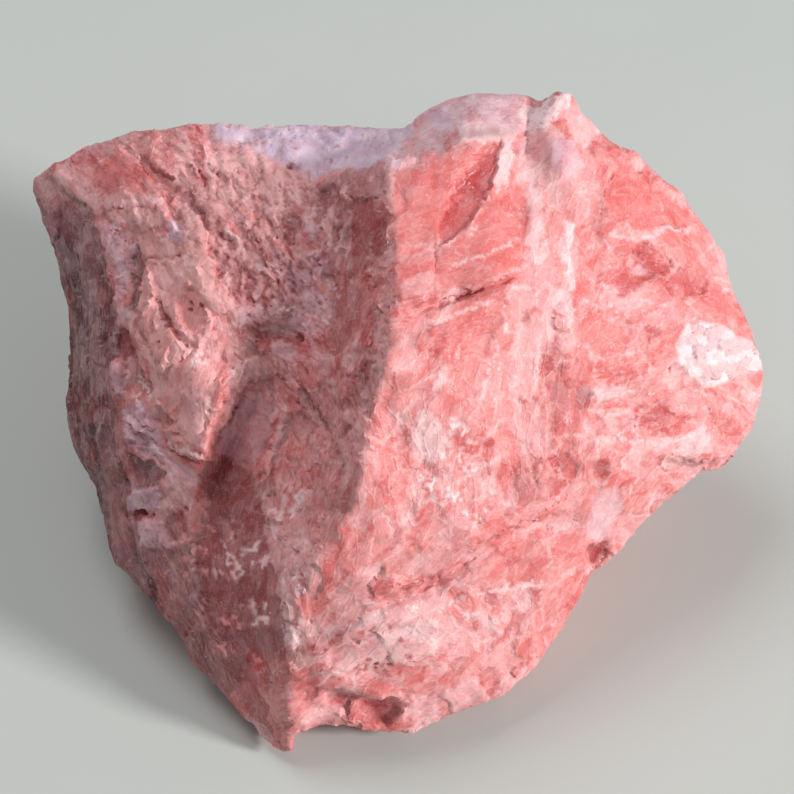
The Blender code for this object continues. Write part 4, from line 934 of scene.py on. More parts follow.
# Scattered flecks: (colour, share, fleck size, outline).
FLECKS = {
    "crumbs down the ridge": ("pale", 0.6, 0.5, [
        (26, 48.6), (28.4, 49), (31.4, 55.6), (30.4, 61), (29.6, 66), (28, 61)]),
    "flakes on the low left side": ("rose", 0.3, 0.45, [
        (15, 52), (20, 53), (25, 62), (26.6, 68), (22, 66), (17, 58)]),
    "flecks on the wine plain": ("paler", 0.4, 0.46, [
        (22, 54.4), (26.4, 53.4), (28.6, 58), (28.8, 67), (25.6, 65), (21, 59)]),
    "fine flecks on it": ("rose", 0.1, 0.3, [
        (21, 52), (26.4, 52), (29, 58), (28, 66), (19.6, 60)]),
    "flecks in the rough band": ("paler", 0.65, 0.5, [
        (27, 48), (30.6, 48.6), (31, 56), (29.4, 68), (27.8, 62), (26.6, 51)]),
    "sparkles under the lump": ("white", 0.35, 0.28, [
        (13, 37.6), (14.8, 38.6), (15.8, 41.2), (13.6, 41)]),
    "glints over the lit face": ("white", 0.35, 0.3, [
        (18, 34.8), (20.4, 35), (20.6, 36.4), (18.4, 36.4)]),
    "glints by the hollow": ("white", 0.45, 0.3, [
        (24.4, 35.2), (25.9, 35.2), (25.6, 37), (23, 39.4), (23.4, 37)]),
    "white crumbs on the face": ("white", 0.3, 0.45, [
        (42, 47), (48, 46), (50, 50.6), (46.6, 53), (43, 51)]),
    "more white crumbs": ("white", 0.35, 0.5, [(44.6, 41.6), (48, 44), (47, 47), (44, 46)]),
    "druse specks": ("mauve", 0.1, 0.2, [
        (20, 12.4), (41, 12.6), (36.4, 16.6), (31.6, 18), (26, 15.6)]),
    "toe crumbs": ("deep", 0.3, 0.5, [
        (30.6, 63), (38, 61.4), (43.6, 66.4), (40, 69), (31, 68)]),
    "slope's pale crumbs": ("pale", 0.35, 0.4, [
        (22.6, 19.6), (26, 19), (30, 22), (31, 27), (26, 25), (23, 22.6)]),
    "slope's grey crumbs": ("smoke", 0.35, 0.35, [
        (26, 24), (31, 24), (34, 28), (33, 33), (24, 32.6)]),
    "slope's brown crumbs": ("wine", 0.3, 0.4, [
        (21, 22), (27, 20), (32.6, 24), (33, 31), (23, 31.6)]),
}


# Heights and depths of the front's relief, in millimetres, and turns in degrees.
STEP_SHARES = {"face": 0.8, "rest": 1.3, "crest": 0.3}
PLATE_STEP, PLATE_TILTS = 0.24, (0.14, 0.1)
CRYSTAL_STEP, CRYSTAL_GROOVE = 0.2, 0.07
CHIP_STEP, CHIP_TILT, CHIP_TURN = 0.2, 0.1, 8.0
CRUMB_STEP, CRUMB_TILT, GAP_DEPTH = 0.2, 0.14, 0.08
SLOPE_FLAKES, LEAF_FLAKES = (1.7, 0.5, 41), (1.9, 0.45, 47)
THREAD_HEIGHT, BROAD_HEIGHT = 0.02, 0.04
REST_GRAIN, REST_THREADS, FINE_GRAIN = 0.22, 0.12, 0.06
DRUSE_GRAIN, DRUSE_SUGAR = 0.3, 0.16
LIFT_EDGE, CALMED = 0.16, 0.8
LINE_REACH, LEAST_GAP, CRACK_SHARE, PIT_FRAY = 1.0, 0.05, 0.6, 0.7
CRUST_LIFT, CRUST_STEP, CRUST_GROOVE, CRUST_TURN = 0.25, 0.5, 0.16, -30.0
CALCITE_FRAY, RECESS_DEPTH = 0.35, 0.4
LEAF_HEIGHT, LEAF_LINES, FLUTE_HEIGHT, FLUTE_LINES = 0.42, 0.16, 0.32, 0.14
ALL_ROUND = {"block": 0.8, "shard": 0.34, "rough": 0.22, "streaks": 0.16}
BLOCK_TURN = np.array([[0.80, 0.36, -0.48], [-0.60, 0.48, -0.64], [0.0, 0.80, 0.60]])
RIM_LOSS = 0.55  # The relief is this much weaker along the outline.
FOOT_FADE = (0.02, 1.2)


def zones(seen):
    """How much each corner belongs to each zone of the front, and its wandering coordinates."""
    flat = seen.flat
    bent = flat + waver(flat, *WAVERS["bent"])
    seen.fine = bent + waver(flat, *WAVERS["fine"])
    seen.ragged = flat + waver(flat, *WAVERS["ragged"]) + waver(flat, *WAVERS["fringed"])
    for name, outline, edge in (
        ("face", BROAD_FACE, 0.8), ("slope", FLAKY_SLOPE, 0.8), ("lump", LUMP, 0.8),
        ("steep", STEEP_SIDE, 0.5), ("druse", DRUSE, 0.5), ("crest", CREST, 0.5),
    ):
        setattr(seen, name, within(bent, outline, edge))
    taken = seen.face + seen.slope + seen.lump + seen.steep + seen.druse + seen.crest
    seen.rest = np.clip(1.0 - taken, 0.0, 1.0)
    return bent


def crystal_steps(seen, flow):
    """Steps between crystals, cleavage plates and chips, in millimetres."""
    seen.plate, seen.plate_edge, spread, _ = patches(seen.fine, flow, *PATTERNS["plate"])
    seen.chip, _, small_spread, _ = patches(
        seen.fine, turned(flow, CHIP_TURN), *PATTERNS["chip"])
    steps = (seen.plate - 0.5) * PLATE_STEP
    steps += spread[:, 0] * slant(seen.plate, 1.0) * PLATE_TILTS[0]
    steps += spread[:, 1] * slant(seen.plate, 7.0) * PLATE_TILTS[1]
    steps += CRYSTAL_STEP * (seen.crystal - 0.5)
    steps -= CRYSTAL_GROOVE * smooth(0.08, 0.0, seen.crystal_edge)
    chips = (seen.chip - 0.5) * CHIP_STEP
    chips += small_spread[:, 0] * slant(seen.chip, 3.0) * CHIP_TILT
    return steps + chips * smooth(-0.25, 0.35, grain(seen.flat, *GRAINS["chipped"]))


def slope_crumbs(seen, flow):
    """Crumbs and flakes of the flaky slope, in millimetres, with the gaps between them."""
    crumbs, edge, spread, _ = patches(seen.fine, flow, *PATTERNS["crumb"])
    seen.crumb = crumbs
    seen.gap = smooth(0.16, 0.02, edge) * np.clip(seen.slope + 0.6 * seen.rest, 0.0, 1.0)
    height = CRUMB_STEP * (crumbs - 0.5) + CRUMB_TILT * spread[:, 0] * slant(crumbs, 5.0)
    height += flakes(seen.fine, flow, *SLOPE_FLAKES)
    return seen.slope * height - GAP_DEPTH * seen.gap


def relief_of_front(seen, shape):
    """The front's relief in millimetres: crystals, flakes, leaves, flutes, cracks and pits."""
    flat, flow = seen.flat, seen.flow
    bent = zones(seen)
    steps = crystal_steps(seen, flow)
    seen.threads = fibres(bent, flow, *THREADS["threads"])
    seen.broad = fibres(bent, flow, *THREADS["broad"])

    height = sum(share * getattr(seen, zone) for zone, share in STEP_SHARES.items()) * steps
    height += (THREAD_HEIGHT * seen.threads + BROAD_HEIGHT * seen.broad) * (1.0 - seen.druse)
    height += slope_crumbs(seen, flow)
    height += seen.lump * leaves(seen.fine, flow) + seen.steep * flutes(seen.fine, flow)
    height += seen.rest * (REST_GRAIN * grain(bent, *GRAINS["rough"])
                           + REST_THREADS * fibres(bent, flow, *THREADS["rough"]))
    height += FINE_GRAIN * grain(flat, *GRAINS["fine"])
    height += seen.druse * (DRUSE_GRAIN * grain(flat, *GRAINS["druse"])
                            + DRUSE_SUGAR * (patches(flat, flow, *PATTERNS["sugar"])[0] - 0.5))

    seen.calm, lifts = np.zeros(len(flat)), np.zeros(len(flat))
    for _, _, lift, calm, outline in PLATES.values():
        inside = within(seen.ragged, outline, LIFT_EDGE)
        lifts = mix(lifts, lift, inside)
        seen.calm = mix(seen.calm, calm, inside)
    height = height * (1.0 - CALMED * seen.calm) + lifts

    height -= shape.crack_depth * cracks(seen)
    height += blades(seen)
    height += shape.crack_depth * pits(seen)
    seen.calcite = within(seen.fine + CALCITE_FRAY * (seen.fine - bent), CALCITE, 0.22)
    crust, edge, _, _ = patches(seen.fine, turned(flow, CRUST_TURN), *PATTERNS["crust"])
    seen.crust = crust
    raised = CRUST_LIFT + CRUST_STEP * (crust - 0.5) - CRUST_GROOVE * smooth(0.2, 0.0, edge)
    height = mix(height, raised, seen.calcite)
    seen.recess = within(seen.ragged, BROW_RECESS, 0.25)
    height -= RECESS_DEPTH * seen.recess
    return height * shape.relief


def cracks(seen):
    """Depth of the cracks, in millimetres. Also keeps how cracked each corner is, for its colour."""
    depths, seen.crack = np.zeros(len(seen.flat)), np.zeros(len(seen.flat))
    for width, depth, line in CRACKS.values():
        box = close_by(seen.ragged, line, LINE_REACH)
        far, along = nearest(seen.ragged[box], line)
        gap = width * (0.7 + 0.6 * grain(seen.flat[box], *GRAINS["crack"]))
        split = ends(along) * smooth(1.5, 0.3, far / np.maximum(gap, LEAST_GAP))
        seen.crack[box] = np.maximum(seen.crack[box], split * min(1.0, 1.3 * depth))
        depths[box] += CRACK_SHARE * depth * split
    return depths


def blades(seen):
    """Height of the raised blades and veins, in millimetres. Also keeps where they are."""
    heights, seen.blade = np.zeros(len(seen.flat)), np.zeros(len(seen.flat))
    for width, tall, line in BLADES.values():
        box = close_by(seen.ragged, line, LINE_REACH)
        far, along = nearest(seen.ragged[box], line)
        whole = smooth(-0.5, 0.1, grain(seen.flat[box], *GRAINS["blade"]))
        raised = ends(along) * smooth(1.8, 0.6, far / width) * whole
        seen.blade[box] = np.maximum(seen.blade[box], raised)
        heights[box] += tall * raised
    return heights


def pits(seen):
    """Height of the pits (below nought) and lumps, in millimetres. Also keeps where the pits are."""
    heights, seen.pit = np.zeros(len(seen.flat)), np.zeros(len(seen.flat))
    frayed = PIT_FRAY * grain(seen.flat, *GRAINS["pit"])
    for tall, *place in PITS.values():
        dent = smooth(1.1, 0.5, spot(seen.fine, *place) + frayed)
        heights += tall * dent
        if tall < 0.0:
            seen.pit = np.maximum(seen.pit, dent)
    return heights


def slant(number, salt):
    """A repeatable slant from -1 to 1 for each patch's number."""
    return np.sin(number * 977.0 + salt * 13.7)


def flakes(points, flow, period, height, seed):
    """Overlapping flakes that run along the flow, each with a steep lower edge."""
    lie = (points * turned(flow, 90.0)).sum(axis=1) / period + 0.9 * grain(points, 3.2, seed, 2)
    lie += 0.35 * fibres(points, flow, *THREADS["flake lines"], seed + 1)
    part = lie - np.floor(lie)
    broken = smooth(-0.4, 0.3, grain(points, 2.6, seed + 2, 2))
    return height * (part - 0.5 - smooth(0.88, 1.0, part) * part) * broken


def leaves(points, flow):
    """Thin crumpled leaves, stacked across the lump."""
    height = LEAF_HEIGHT * np.abs(fibres(points, flow, *THREADS["leaf"])) - 0.2
    height += LEAF_LINES * fibres(points, flow, *THREADS["leaf lines"])
    return height + flakes(points, flow, *LEAF_FLAKES)


def flutes(points, flow):
    """Upright ridges and grooves of the steep side."""
    ridged = 1.0 - 2.0 * np.abs(fibres(points, flow, *THREADS["flute"]))
    return FLUTE_HEIGHT * ridged + FLUTE_LINES * fibres(points, flow, *THREADS["flute lines"])


def relief_all_round(seen):
    """Relief of the whole stone: broad swells, broken blocks and their worn edges."""
    spun = seen.places @ BLOCK_TURN
    spun = spun + waver(spun, *WAVERS["spun"])
    seen.block, seen.block_edge = lumps(spun, (7.5, 4.6, 3.4), 84)
    seen.shard, seen.shard_edge = lumps(spun, (3.0, 1.7, 1.3), 88)
    seen.rough = grain(seen.places, *GRAINS["all round"])
    seen.streaks = grain(spun, *GRAINS["streaks"])
    seen.cloud = grain(seen.places, *GRAINS["cloud"])
    height = ALL_ROUND["block"] * (seen.block - 0.5) + ALL_ROUND["shard"] * (seen.shard - 0.5)
    return height + ALL_ROUND["rough"] * seen.rough + ALL_ROUND["streaks"] * seen.streaks


def carve(stone, shape):
    """Pushes every corner in or out along its own direction, inside the plain stone's box."""
    seen = Survey(stone.data)
    seen.flow, seen.crystal, seen.crystal_edge = crystals(seen.flat)
    fronts = relief_of_front(seen, shape)
    rounds = relief_all_round(seen) * shape.relief
    height = mix(rounds, fronts, seen.front) * (1.0 - RIM_LOSS * seen.rim)
    lift = smooth(*FOOT_FADE, seen.places[:, 2])
    moved = seen.places + seen.normals * (height * lift)[:, None]
    moved[:, 2] = np.maximum(moved[:, 2], 0.0)
    lowest, highest = (np.array(corner) / MM for corner in PLAIN_BOX)
    moved = np.clip(moved, lowest, highest)
    stone.data.vertices.foreach_set("co", (moved * MM).ravel())
    stone.data.update()
    seen.height = height
    return seen


# ---------------------------------------------------------------- colouring


# Brush marks by place: (colour, strength, across, down, half length, half width, turn).
MARKS = {
    # Painted shade: umber and wine darken the steep side.
    "steep side": [
        ("shade_umber", 0.9, 6, 30, 12, 3.6, 88), ("shade_umber", 0.8, 9, 44, 10, 2.8, 78),
        ("wine", 0.6, 12, 54, 5, 1.8, 62),
    ],
    "top, left": [
        # The first smoke mark here is a painted sheen of sky light on the top left.
        ("smoke", 0.5, 8.6, 16.4, 6, 3.4, 20), ("pale", 0.5, 24, 18, 13, 5, 20),
        ("rose", 0.8, 12, 16.4, 7, 2.2, -8), ("coral", 0.8, 11.6, 17.2, 2, 1.1, 20),
        ("pale", 0.6, 14, 20, 3.2, 0.6, 0), ("coral", 0.45, 8, 18.4, 3, 1.4, 40),
        ("peach", 0.7, 24, 16, 7, 1.8, 18), ("mauve", 0.35, 25, 23, 7, 3.6, 45),
        ("peach", 0.55, 22, 19, 5, 1.4, 40), ("smoke", 0.5, 18.6, 22.6, 1.6, 0.8, -20),
        ("pale", 0.45, 28.6, 19.6, 3.4, 0.8, 30), ("mauve", 0.6, 13, 23, 2.4, 1.2, 50),
    ],
    # Painted shade: wine darkens the wall left of the arris.
    "dark wall": [
        ("wine", 0.85, 36.4, 25, 7.4, 2.2, 92), ("wine", 0.7, 33, 24, 6, 2, 80),
        ("wine", 0.8, 37, 36, 6, 1.6, 98), ("wine", 0.6, 35.6, 44, 6, 1.4, 102),
        ("mauve", 0.6, 31, 29, 3, 2.2, 60),
    ],
    "folded lump": [
        ("peach", 0.85, 17, 35, 10, 4, 84), ("pale", 0.45, 17.6, 31, 4, 1.2, 84),
        ("pale", 0.5, 19.8, 38, 4, 1.2, 108), ("mauve", 0.5, 14.2, 31, 4, 0.8, 80),
        ("peach", 0.7, 22, 36.4, 2.6, 1.6, 110), ("wine", 0.5, 24.6, 31.6, 3, 1, 60),
        ("lavender", 0.6, 14, 43.6, 3.8, 1.1, 70), ("lavender", 0.75, 13.8, 49.2, 1.8, 1.2, 70),
        ("wine", 0.7, 12.4, 43, 4.6, 0.7, 84), ("smoke", 0.5, 12.4, 26.4, 2.8, 0.8, 78),
    ],
    # The wine marks in the hollow are painted shade; its coral, rose and deep marks are its own colour.
    "hollow": [
        ("wine", 0.75, 28, 34, 6, 1.8, 16), ("wine", 0.8, 26, 40, 4.2, 3, 60),
        ("coral", 0.35, 22.6, 50, 7.6, 3.4, 112), ("wine", 0.65, 24, 45, 6.4, 2.4, 112),
        ("wine", 0.75, 30.6, 42, 4.6, 1.8, 58), ("rose", 0.55, 26.4, 43, 6, 0.8, 112),
        ("rose", 0.4, 30.6, 37.4, 3.6, 1, 50), ("coral", 0.45, 29.4, 47.6, 3.6, 1.6, 100),
        ("deep", 0.45, 21, 49, 4, 1.6, 108),
    ],
    # The wine marks at the lower left are painted shade; the rose, pale and white marks by the ridge and
    # the pale mark at the tip are painted light.
    "front, left": [
        ("wine", 0.6, 16.6, 55, 6, 2.8, 60), ("wine", 0.5, 19, 58, 6, 2.4, 60),
        ("rose", 0.55, 28.4, 55, 6, 1.8, 104), ("pale", 0.65, 31, 54.6, 5, 1.5, 112),
        ("white", 0.35, 28.6, 60, 6, 1, 100),
        ("deep", 0.6, 23, 61, 5, 2.2, 70), ("red", 0.8, 25.4, 66.4, 1.4, 0.8, 40),
        ("wine", 0.5, 21, 64.6, 4, 1.6, 48), ("deep", 0.5, 26.4, 64, 3.4, 1.2, 80),
        ("pale", 0.7, 27.6, 71.4, 3.6, 1.5, 76), ("rose", 0.6, 24, 69.4, 3, 1.4, 50),
    ],
    # The paler marks on the bottom blocks are partly painted light, where the blocks face down.
    "bottom": [
        ("deep", 0.75, 36.4, 71, 3.8, 1.1, 4), ("pale", 0.75, 35.2, 71, 1.6, 0.9, -30),
        ("straw", 0.7, 33.2, 60.6, 1.4, 0.8, 60), ("peach", 0.5, 32.6, 62.4, 2.4, 1.6, 70),
        ("paler", 0.75, 36, 64, 7, 3.2, -16), ("paler", 0.6, 40.6, 64.4, 4, 1.4, -16),
        ("paler", 0.6, 39, 60.6, 5.4, 1.2, -22), ("rose", 0.6, 44, 67.6, 4.6, 2, -20),
    ],
    "broad face": [
        ("coral", 0.85, 46.6, 19, 5.6, 2, -58), ("deep", 0.45, 47, 17.6, 3.4, 1.2, -58),
        ("coral", 0.55, 42.4, 19, 4.6, 1.8, -78), ("rose", 0.6, 41.4, 25, 6, 1.4, 90),
        ("coral", 0.6, 49.6, 25.4, 5, 1.6, -24), ("pale", 0.6, 45.6, 28, 5, 0.8, -20),
        ("coral", 0.65, 47.6, 32, 5.4, 1.8, -34), ("coral", 0.6, 45.6, 37.6, 4.4, 1.4, -64),
        ("pale", 0.65, 40.6, 36, 6, 1.6, 96), ("coral", 0.55, 51.4, 36, 3.6, 1.2, -76),
        ("pale", 0.6, 49, 38.6, 6, 0.9, -58), ("pale", 0.5, 53, 38.6, 4.4, 1.8, 88),
        ("white", 0.7, 42.4, 42.6, 2.6, 1.4, 60), ("white", 0.45, 44, 46, 4.6, 1.2, 70),
        ("coral", 0.5, 38.8, 46, 4, 1.2, 96), ("coral", 0.45, 49.6, 45, 3.4, 1.4, 78),
        ("white", 0.4, 46.4, 49.6, 3.6, 1.2, -10), ("coral", 0.35, 40.6, 53, 3.6, 1.4, 80),
        ("pale", 0.5, 38.6, 52, 5, 0.9, 76), ("pale", 0.5, 46, 53, 5, 1.6, -40),
        ("coral", 0.55, 52.6, 56.6, 4.2, 1.8, -30), ("deep", 0.4, 52, 57, 2, 0.9, -50),
        ("pale", 0.5, 49.4, 62.4, 5, 1.2, 70), ("coral", 0.45, 47, 66, 3, 1.2, 60),
        ("coral", 0.4, 53.4, 64, 3.6, 1.2, 76), ("rose", 0.5, 44.6, 58.6, 3.2, 1.2, -24),
    ],
    "crest": [
        ("smoke", 0.85, 46.4, 12, 5.4, 2.4, -14), ("pale", 0.6, 53.4, 22, 4.8, 0.9, -76),
        ("smoke", 0.6, 54, 15, 3.4, 2, 80), ("smoke", 0.5, 59, 12.6, 2, 1.2, 30),
        ("lavender", 0.9, 34, 14.8, 9, 2.4, 4), ("white", 0.5, 37.6, 14.2, 3, 0.9, -8),
        ("lavender", 0.6, 23, 13.6, 3, 1, 14),
    ],
    "right shoulder": [
        ("coral", 0.75, 65, 20, 4.4, 2.4, 34), ("coral", 0.6, 62, 17.6, 2, 1.2, 40),
        ("deep", 0.55, 64.3, 26.8, 2.6, 1.5, 25), ("deep", 0.55, 68.8, 28.2, 3, 1.4, 5),
        ("pale", 0.5, 66.6, 24.4, 4.6, 0.8, 12), ("pale", 0.5, 60.6, 25, 3.8, 1.2, -60),
        ("deep", 0.6, 65.2, 33.2, 0.9, 0.8, 0), ("coral", 0.6, 60.8, 33, 3, 1.8, 30),
        ("deep", 0.4, 65.6, 41.6, 2.6, 1.6, 0), ("mauve", 0.6, 57.6, 39.4, 1.8, 3, 10),
        ("deep", 0.6, 56.2, 46.4, 1.2, 0.9, 10), ("deep", 0.6, 59.2, 46.6, 0.9, 0.9, 15),
        ("smoke", 0.75, 60.6, 51.4, 2.6, 1.3, -62), ("red", 0.85, 60.1, 55.6, 1.3, 0.8, -60),
        ("white", 0.75, 69.4, 44.2, 1.4, 1.1, -20), ("rose", 0.55, 72, 42, 3.4, 1.6, 50),
        ("peach", 0.5, 63, 39.6, 3, 1.6, -10), ("pale", 0.5, 60, 42.4, 2.6, 0.8, 4),
        ("coral", 0.5, 70.6, 23.6, 2.6, 1.2, 52), ("rose", 0.4, 73.6, 30, 3, 1.4, 66),
    ],
}


class Paint:
    """Colours laid over one another on every corner."""

    def __init__(self, tones, ground, count):
        self.tones = {name: np.array(tone) for name, tone in tones.items()}
        self.colour = np.broadcast_to(self.tones[ground], (count, 3)).copy()

    def lay(self, name, share):
        self.colour += (self.tones[name] - self.colour) * np.clip(share, 0.0, 1.0)[:, None]

    def lay_all(self, layers, seen, places):
        """Lays a table of (colour, strength, what is read, from, to, place)."""
        for name, strength, what, low, high, place in layers:
            self.lay(name, strength * smooth(low, high, getattr(seen, what)) * places[place])


# Layers of colour: (colour, strength, what is read, from, to, place).
PLAIN_LAYERS = [
    ("deep", 0.55, "block", 0.84, 0.87, "all"), ("pale", 0.6, "block", 0.26, 0.22, "all"),
    ("coral", 0.5, "shard", 0.7, 0.73, "all"), ("deep", 0.4, "shard", 0.9, 0.92, "all"),
]
EDGE_LAYERS = [
    ("pale", 0.7, "block_edge", 0.07, 0.0, "all"), ("pale", 0.4, "shard_edge", 0.07, 0.0, "streaked"),
    ("mauve", 0.35, "cloud", 0.1, 0.2, "back"), ("wine", 0.35, "cloud", -0.35, -0.45, "back"),
    # The umber read from leftness is painted shade on the stone's left end.
    ("white", 0.5, "chalk", 0.4, 0.5, "back"), ("shade_umber", 0.75, "leftness", -23.0, -31.0, "all"),
]
CRYSTAL_LAYERS = [
    ("coral", 0.5, "crystal", 0.6, 0.62, "lively face"), ("pale", 0.35, "crystal", 0.3, 0.28, "lively"),
    ("coral", 0.5, "plate", 0.62, 0.64, "lively"), ("deep", 0.35, "plate", 0.88, 0.9, "lively"),
    ("pale", 0.5, "plate", 0.3, 0.28, "lively"), ("coral", 0.3, "chip", 0.72, 0.74, "lively"),
    ("pale", 0.3, "chip", 0.2, 0.18, "lively"),
]
VEIN_LAYERS = [
    ("pale", 0.4, "plate_edge", 0.1, 0.03, "broken"),
    ("paler", 0.6, "crystal_edge", 0.06, 0.02, "broken"),
    ("paler", 0.15, "threads", 0.5, 0.6, "lively front"), ("deep", 0.12, "threads", -0.5, -0.6, "lively"),
    ("coral", 0.2, "broad", -0.4, -0.45, "lively"), ("pale", 0.2, "broad", 0.4, 0.45, "lively"),
    # Painted highlight on the slope's higher crumbs and painted shade on its lower ones.
    ("pale", 0.6, "crumb", 0.74, 0.76, "slope"), ("wine", 0.45, "crumb", 0.28, 0.26, "slope"),
]
# Low places are painted shade: wine on the shaded side, deep coral on the face. Raised threads and raised
# parts of the face are made paler.
HEIGHT_LAYERS = [
    ("paler", 0.35, "threads", 0.35, 0.6, "high rest"), ("wine", 0.45, "height", -0.2, -0.7, "shaded"),
    ("deep", 0.45, "height", -0.2, -0.7, "face"), ("white", 0.2, "height", 0.25, 0.6, "face"),
    ("mauve", 0.3, "sugar", 0.05, 0.4, "sugared"), ("white", 0.4, "sugar", -0.1, -0.4, "sugared"),
]
# Shares laid as they are: (colour, strength, what is read).
LINES = [("paler", 0.75, "blade"), ("wine", 0.65, "crack"), ("red", 0.65, "pit")]
CLOUD_SHARE, STREAK_SHARE, LEFT_WANDER = 0.15, 0.15, 3.0
RECESS_SPOT, CALCITE_STAIN = (36.4, 71.0, 3.8, 1.4, 4), (71.8, 37.0, 2.2, 0.9, 0)
SPOT_EDGE, STAIN_EDGE = (1.1, 0.7), (1.3, 0.6)
BEHIND_FINISH = (0.3, 0.8, 0.7)


def plain_colours(seen, tones):
    """Colour of the whole stone before its marks: coral and rose, broken by patches and veins, with painted
    shade in umber at its left end.
    """
    seen.chalk = grain(seen.places, *GRAINS["chalk"])
    # How far left each corner lies, for the painted shade at the left end.
    seen.leftness = seen.places[:, 0] + LEFT_WANDER * seen.rough
    places = {"all": 1.0, "back": 1.0 - seen.front, "streaked": smooth(-0.1, 0.3, seen.streaks)}
    paint = Paint(tones, "rose", len(seen.places))
    paint.lay("coral", 0.75 * smooth(0.5, 0.54, seen.block) + CLOUD_SHARE * seen.cloud)
    paint.lay_all(PLAIN_LAYERS, seen, places)
    paint.lay("pale", 0.5 * smooth(0.28, 0.25, seen.shard) + STREAK_SHARE * smooth(0.1, 0.5, seen.streaks))
    paint.lay_all(EDGE_LAYERS, seen, places)
    return paint.colour


def front_colours(seen, tones):
    """Colour of the front: ground tones, soft marks, cleavage patches, clean plates and flecks, with
    painted shade in hollows, gaps and low places and painted light on some ridges and blocks.
    """
    flat = seen.flat
    loose = flat + waver(flat, *WAVERS["loose"])
    seen.sugar = grain(flat, *GRAINS["sugar"])
    shaded = np.clip(1.0 - seen.face - seen.druse - seen.crest, 0.0, 1.0)
    lively = (1.0 - 0.75 * seen.calm) * (1.0 - seen.druse)
    mostly_face = 0.2 + 0.8 * seen.face
    places = {
        "face": seen.face, "slope": seen.slope, "shaded": shaded, "lively": lively,
        "lively face": lively * seen.face, "lively front": lively * mostly_face,
        "broken": smooth(-0.15, 0.25, grain(flat, *GRAINS["broken veins"])) * lively * mostly_face,
        "high rest": smooth(0.0, 0.3, seen.height) * seen.rest, "sugared": seen.druse + seen.crest,
    }
    paint = Paint(tones, "rose", len(flat))
    paint.lay("mauve", 0.65 * shaded)
    for group in MARKS.values():
        for name, strength, *place in group:
            paint.lay(name, strength * smooth(*STAIN_EDGE, spot(loose, *place)))
    paint.lay("lavender", 0.85 * seen.druse)
    paint.lay_all(CRYSTAL_LAYERS, seen, places)
    for name, strength, _, _, outline in PLATES.values():
        paint.lay(name, strength * within(seen.ragged, outline, 0.08))
    paint.lay_all(VEIN_LAYERS, seen, places)
    # Painted shade in the gaps between the slope's crumbs.
    paint.lay("wine", 0.6 * seen.gap)
    clumps = smooth(-0.12, 0.16, grain(flat, *GRAINS["clumps"]))
    for name, share, size, outline in FLECKS.values():
        number, edge, _, _ = patches(seen.fine, seen.flow, (size * 1.5, size), 121, 0.7)
        here = smooth(share + 0.02, share - 0.02, number) * smooth(0.04, 0.16, edge)
        paint.lay(name, here * clumps * within(loose, outline, 0.5))
    paint.lay_all(HEIGHT_LAYERS, seen, places)
    for name, strength, what in LINES:
        paint.lay(name, strength * getattr(seen, what))
    paint.lay("deep", 0.7 * seen.recess * smooth(*SPOT_EDGE, spot(flat, *RECESS_SPOT)))
    paint.lay("crust", 0.97 * seen.calcite)
    paint.lay("white", 0.8 * seen.calcite * smooth(0.45, 0.4, seen.crust))
    stain = smooth(*STAIN_EDGE, spot(loose, *CALCITE_STAIN))
    paint.lay("pale", seen.calcite * np.clip(0.5 * stain + 0.9 * (seen.crust - 0.6), 0.0, 1.0))
    return paint.colour


def finish_marks(seen):
    """How glossy, how blocky and how lively the surface is, each from 0 to 1."""
    gloss = 0.2 + 0.6 * seen.crest + 0.4 * seen.calm - 0.3 * seen.calcite
    gloss += 0.3 * smooth(0.6, 0.9, seen.chip)
    blocky = np.clip(seen.face + seen.crest, 0.0, 1.0)
    lively = 0.65 + 0.05 * seen.face - 0.35 * seen.calm - 0.4 * seen.druse - 0.4 * seen.calcite
    lively = np.clip(lively, 0.1, 1.0)
    front = seen.front[:, None]
    return mix(np.array([BEHIND_FINISH]), np.stack([gloss, blocky, lively], axis=1), front)


def growth(stone):
    """The turn of each face's crystal, in radians, constant over the crystal."""
    mesh = stone.data
    middles = np.empty(len(mesh.polygons) * 3)
    mesh.polygons.foreach_get("center", middles)
    flow = crystals(frame_places(middles.reshape(-1, 3) / MM)[0])[0]
    return np.arctan2(flow[:, 1], flow[:, 0])


def store(mesh, name, values):
    """Keeps three values for each corner as a colour attribute."""
    layer = mesh.attributes.new(name, "FLOAT_COLOR", "POINT")
    full = np.ones((len(mesh.vertices), 4), np.float32)
    full[:, :3] = np.clip(values, 0.0, 1.0)
    layer.data.foreach_set("color", full.ravel())


def colour_in(stone, seen, colours):
    tones = {name: tuple(getattr(colours, name)) for name in StoneColours.__annotations__}
    colour = mix(plain_colours(seen, tones), front_colours(seen, tones), seen.painted[:, None])
    store(stone.data, "tint", colour)
    store(stone.data, "finish", finish_marks(seen))
    layer = stone.data.attributes.new("grow", "FLOAT", "FACE")
    layer.data.foreach_set("value", growth(stone).astype(np.float32))


# ---------------------------------------------------------------- materials


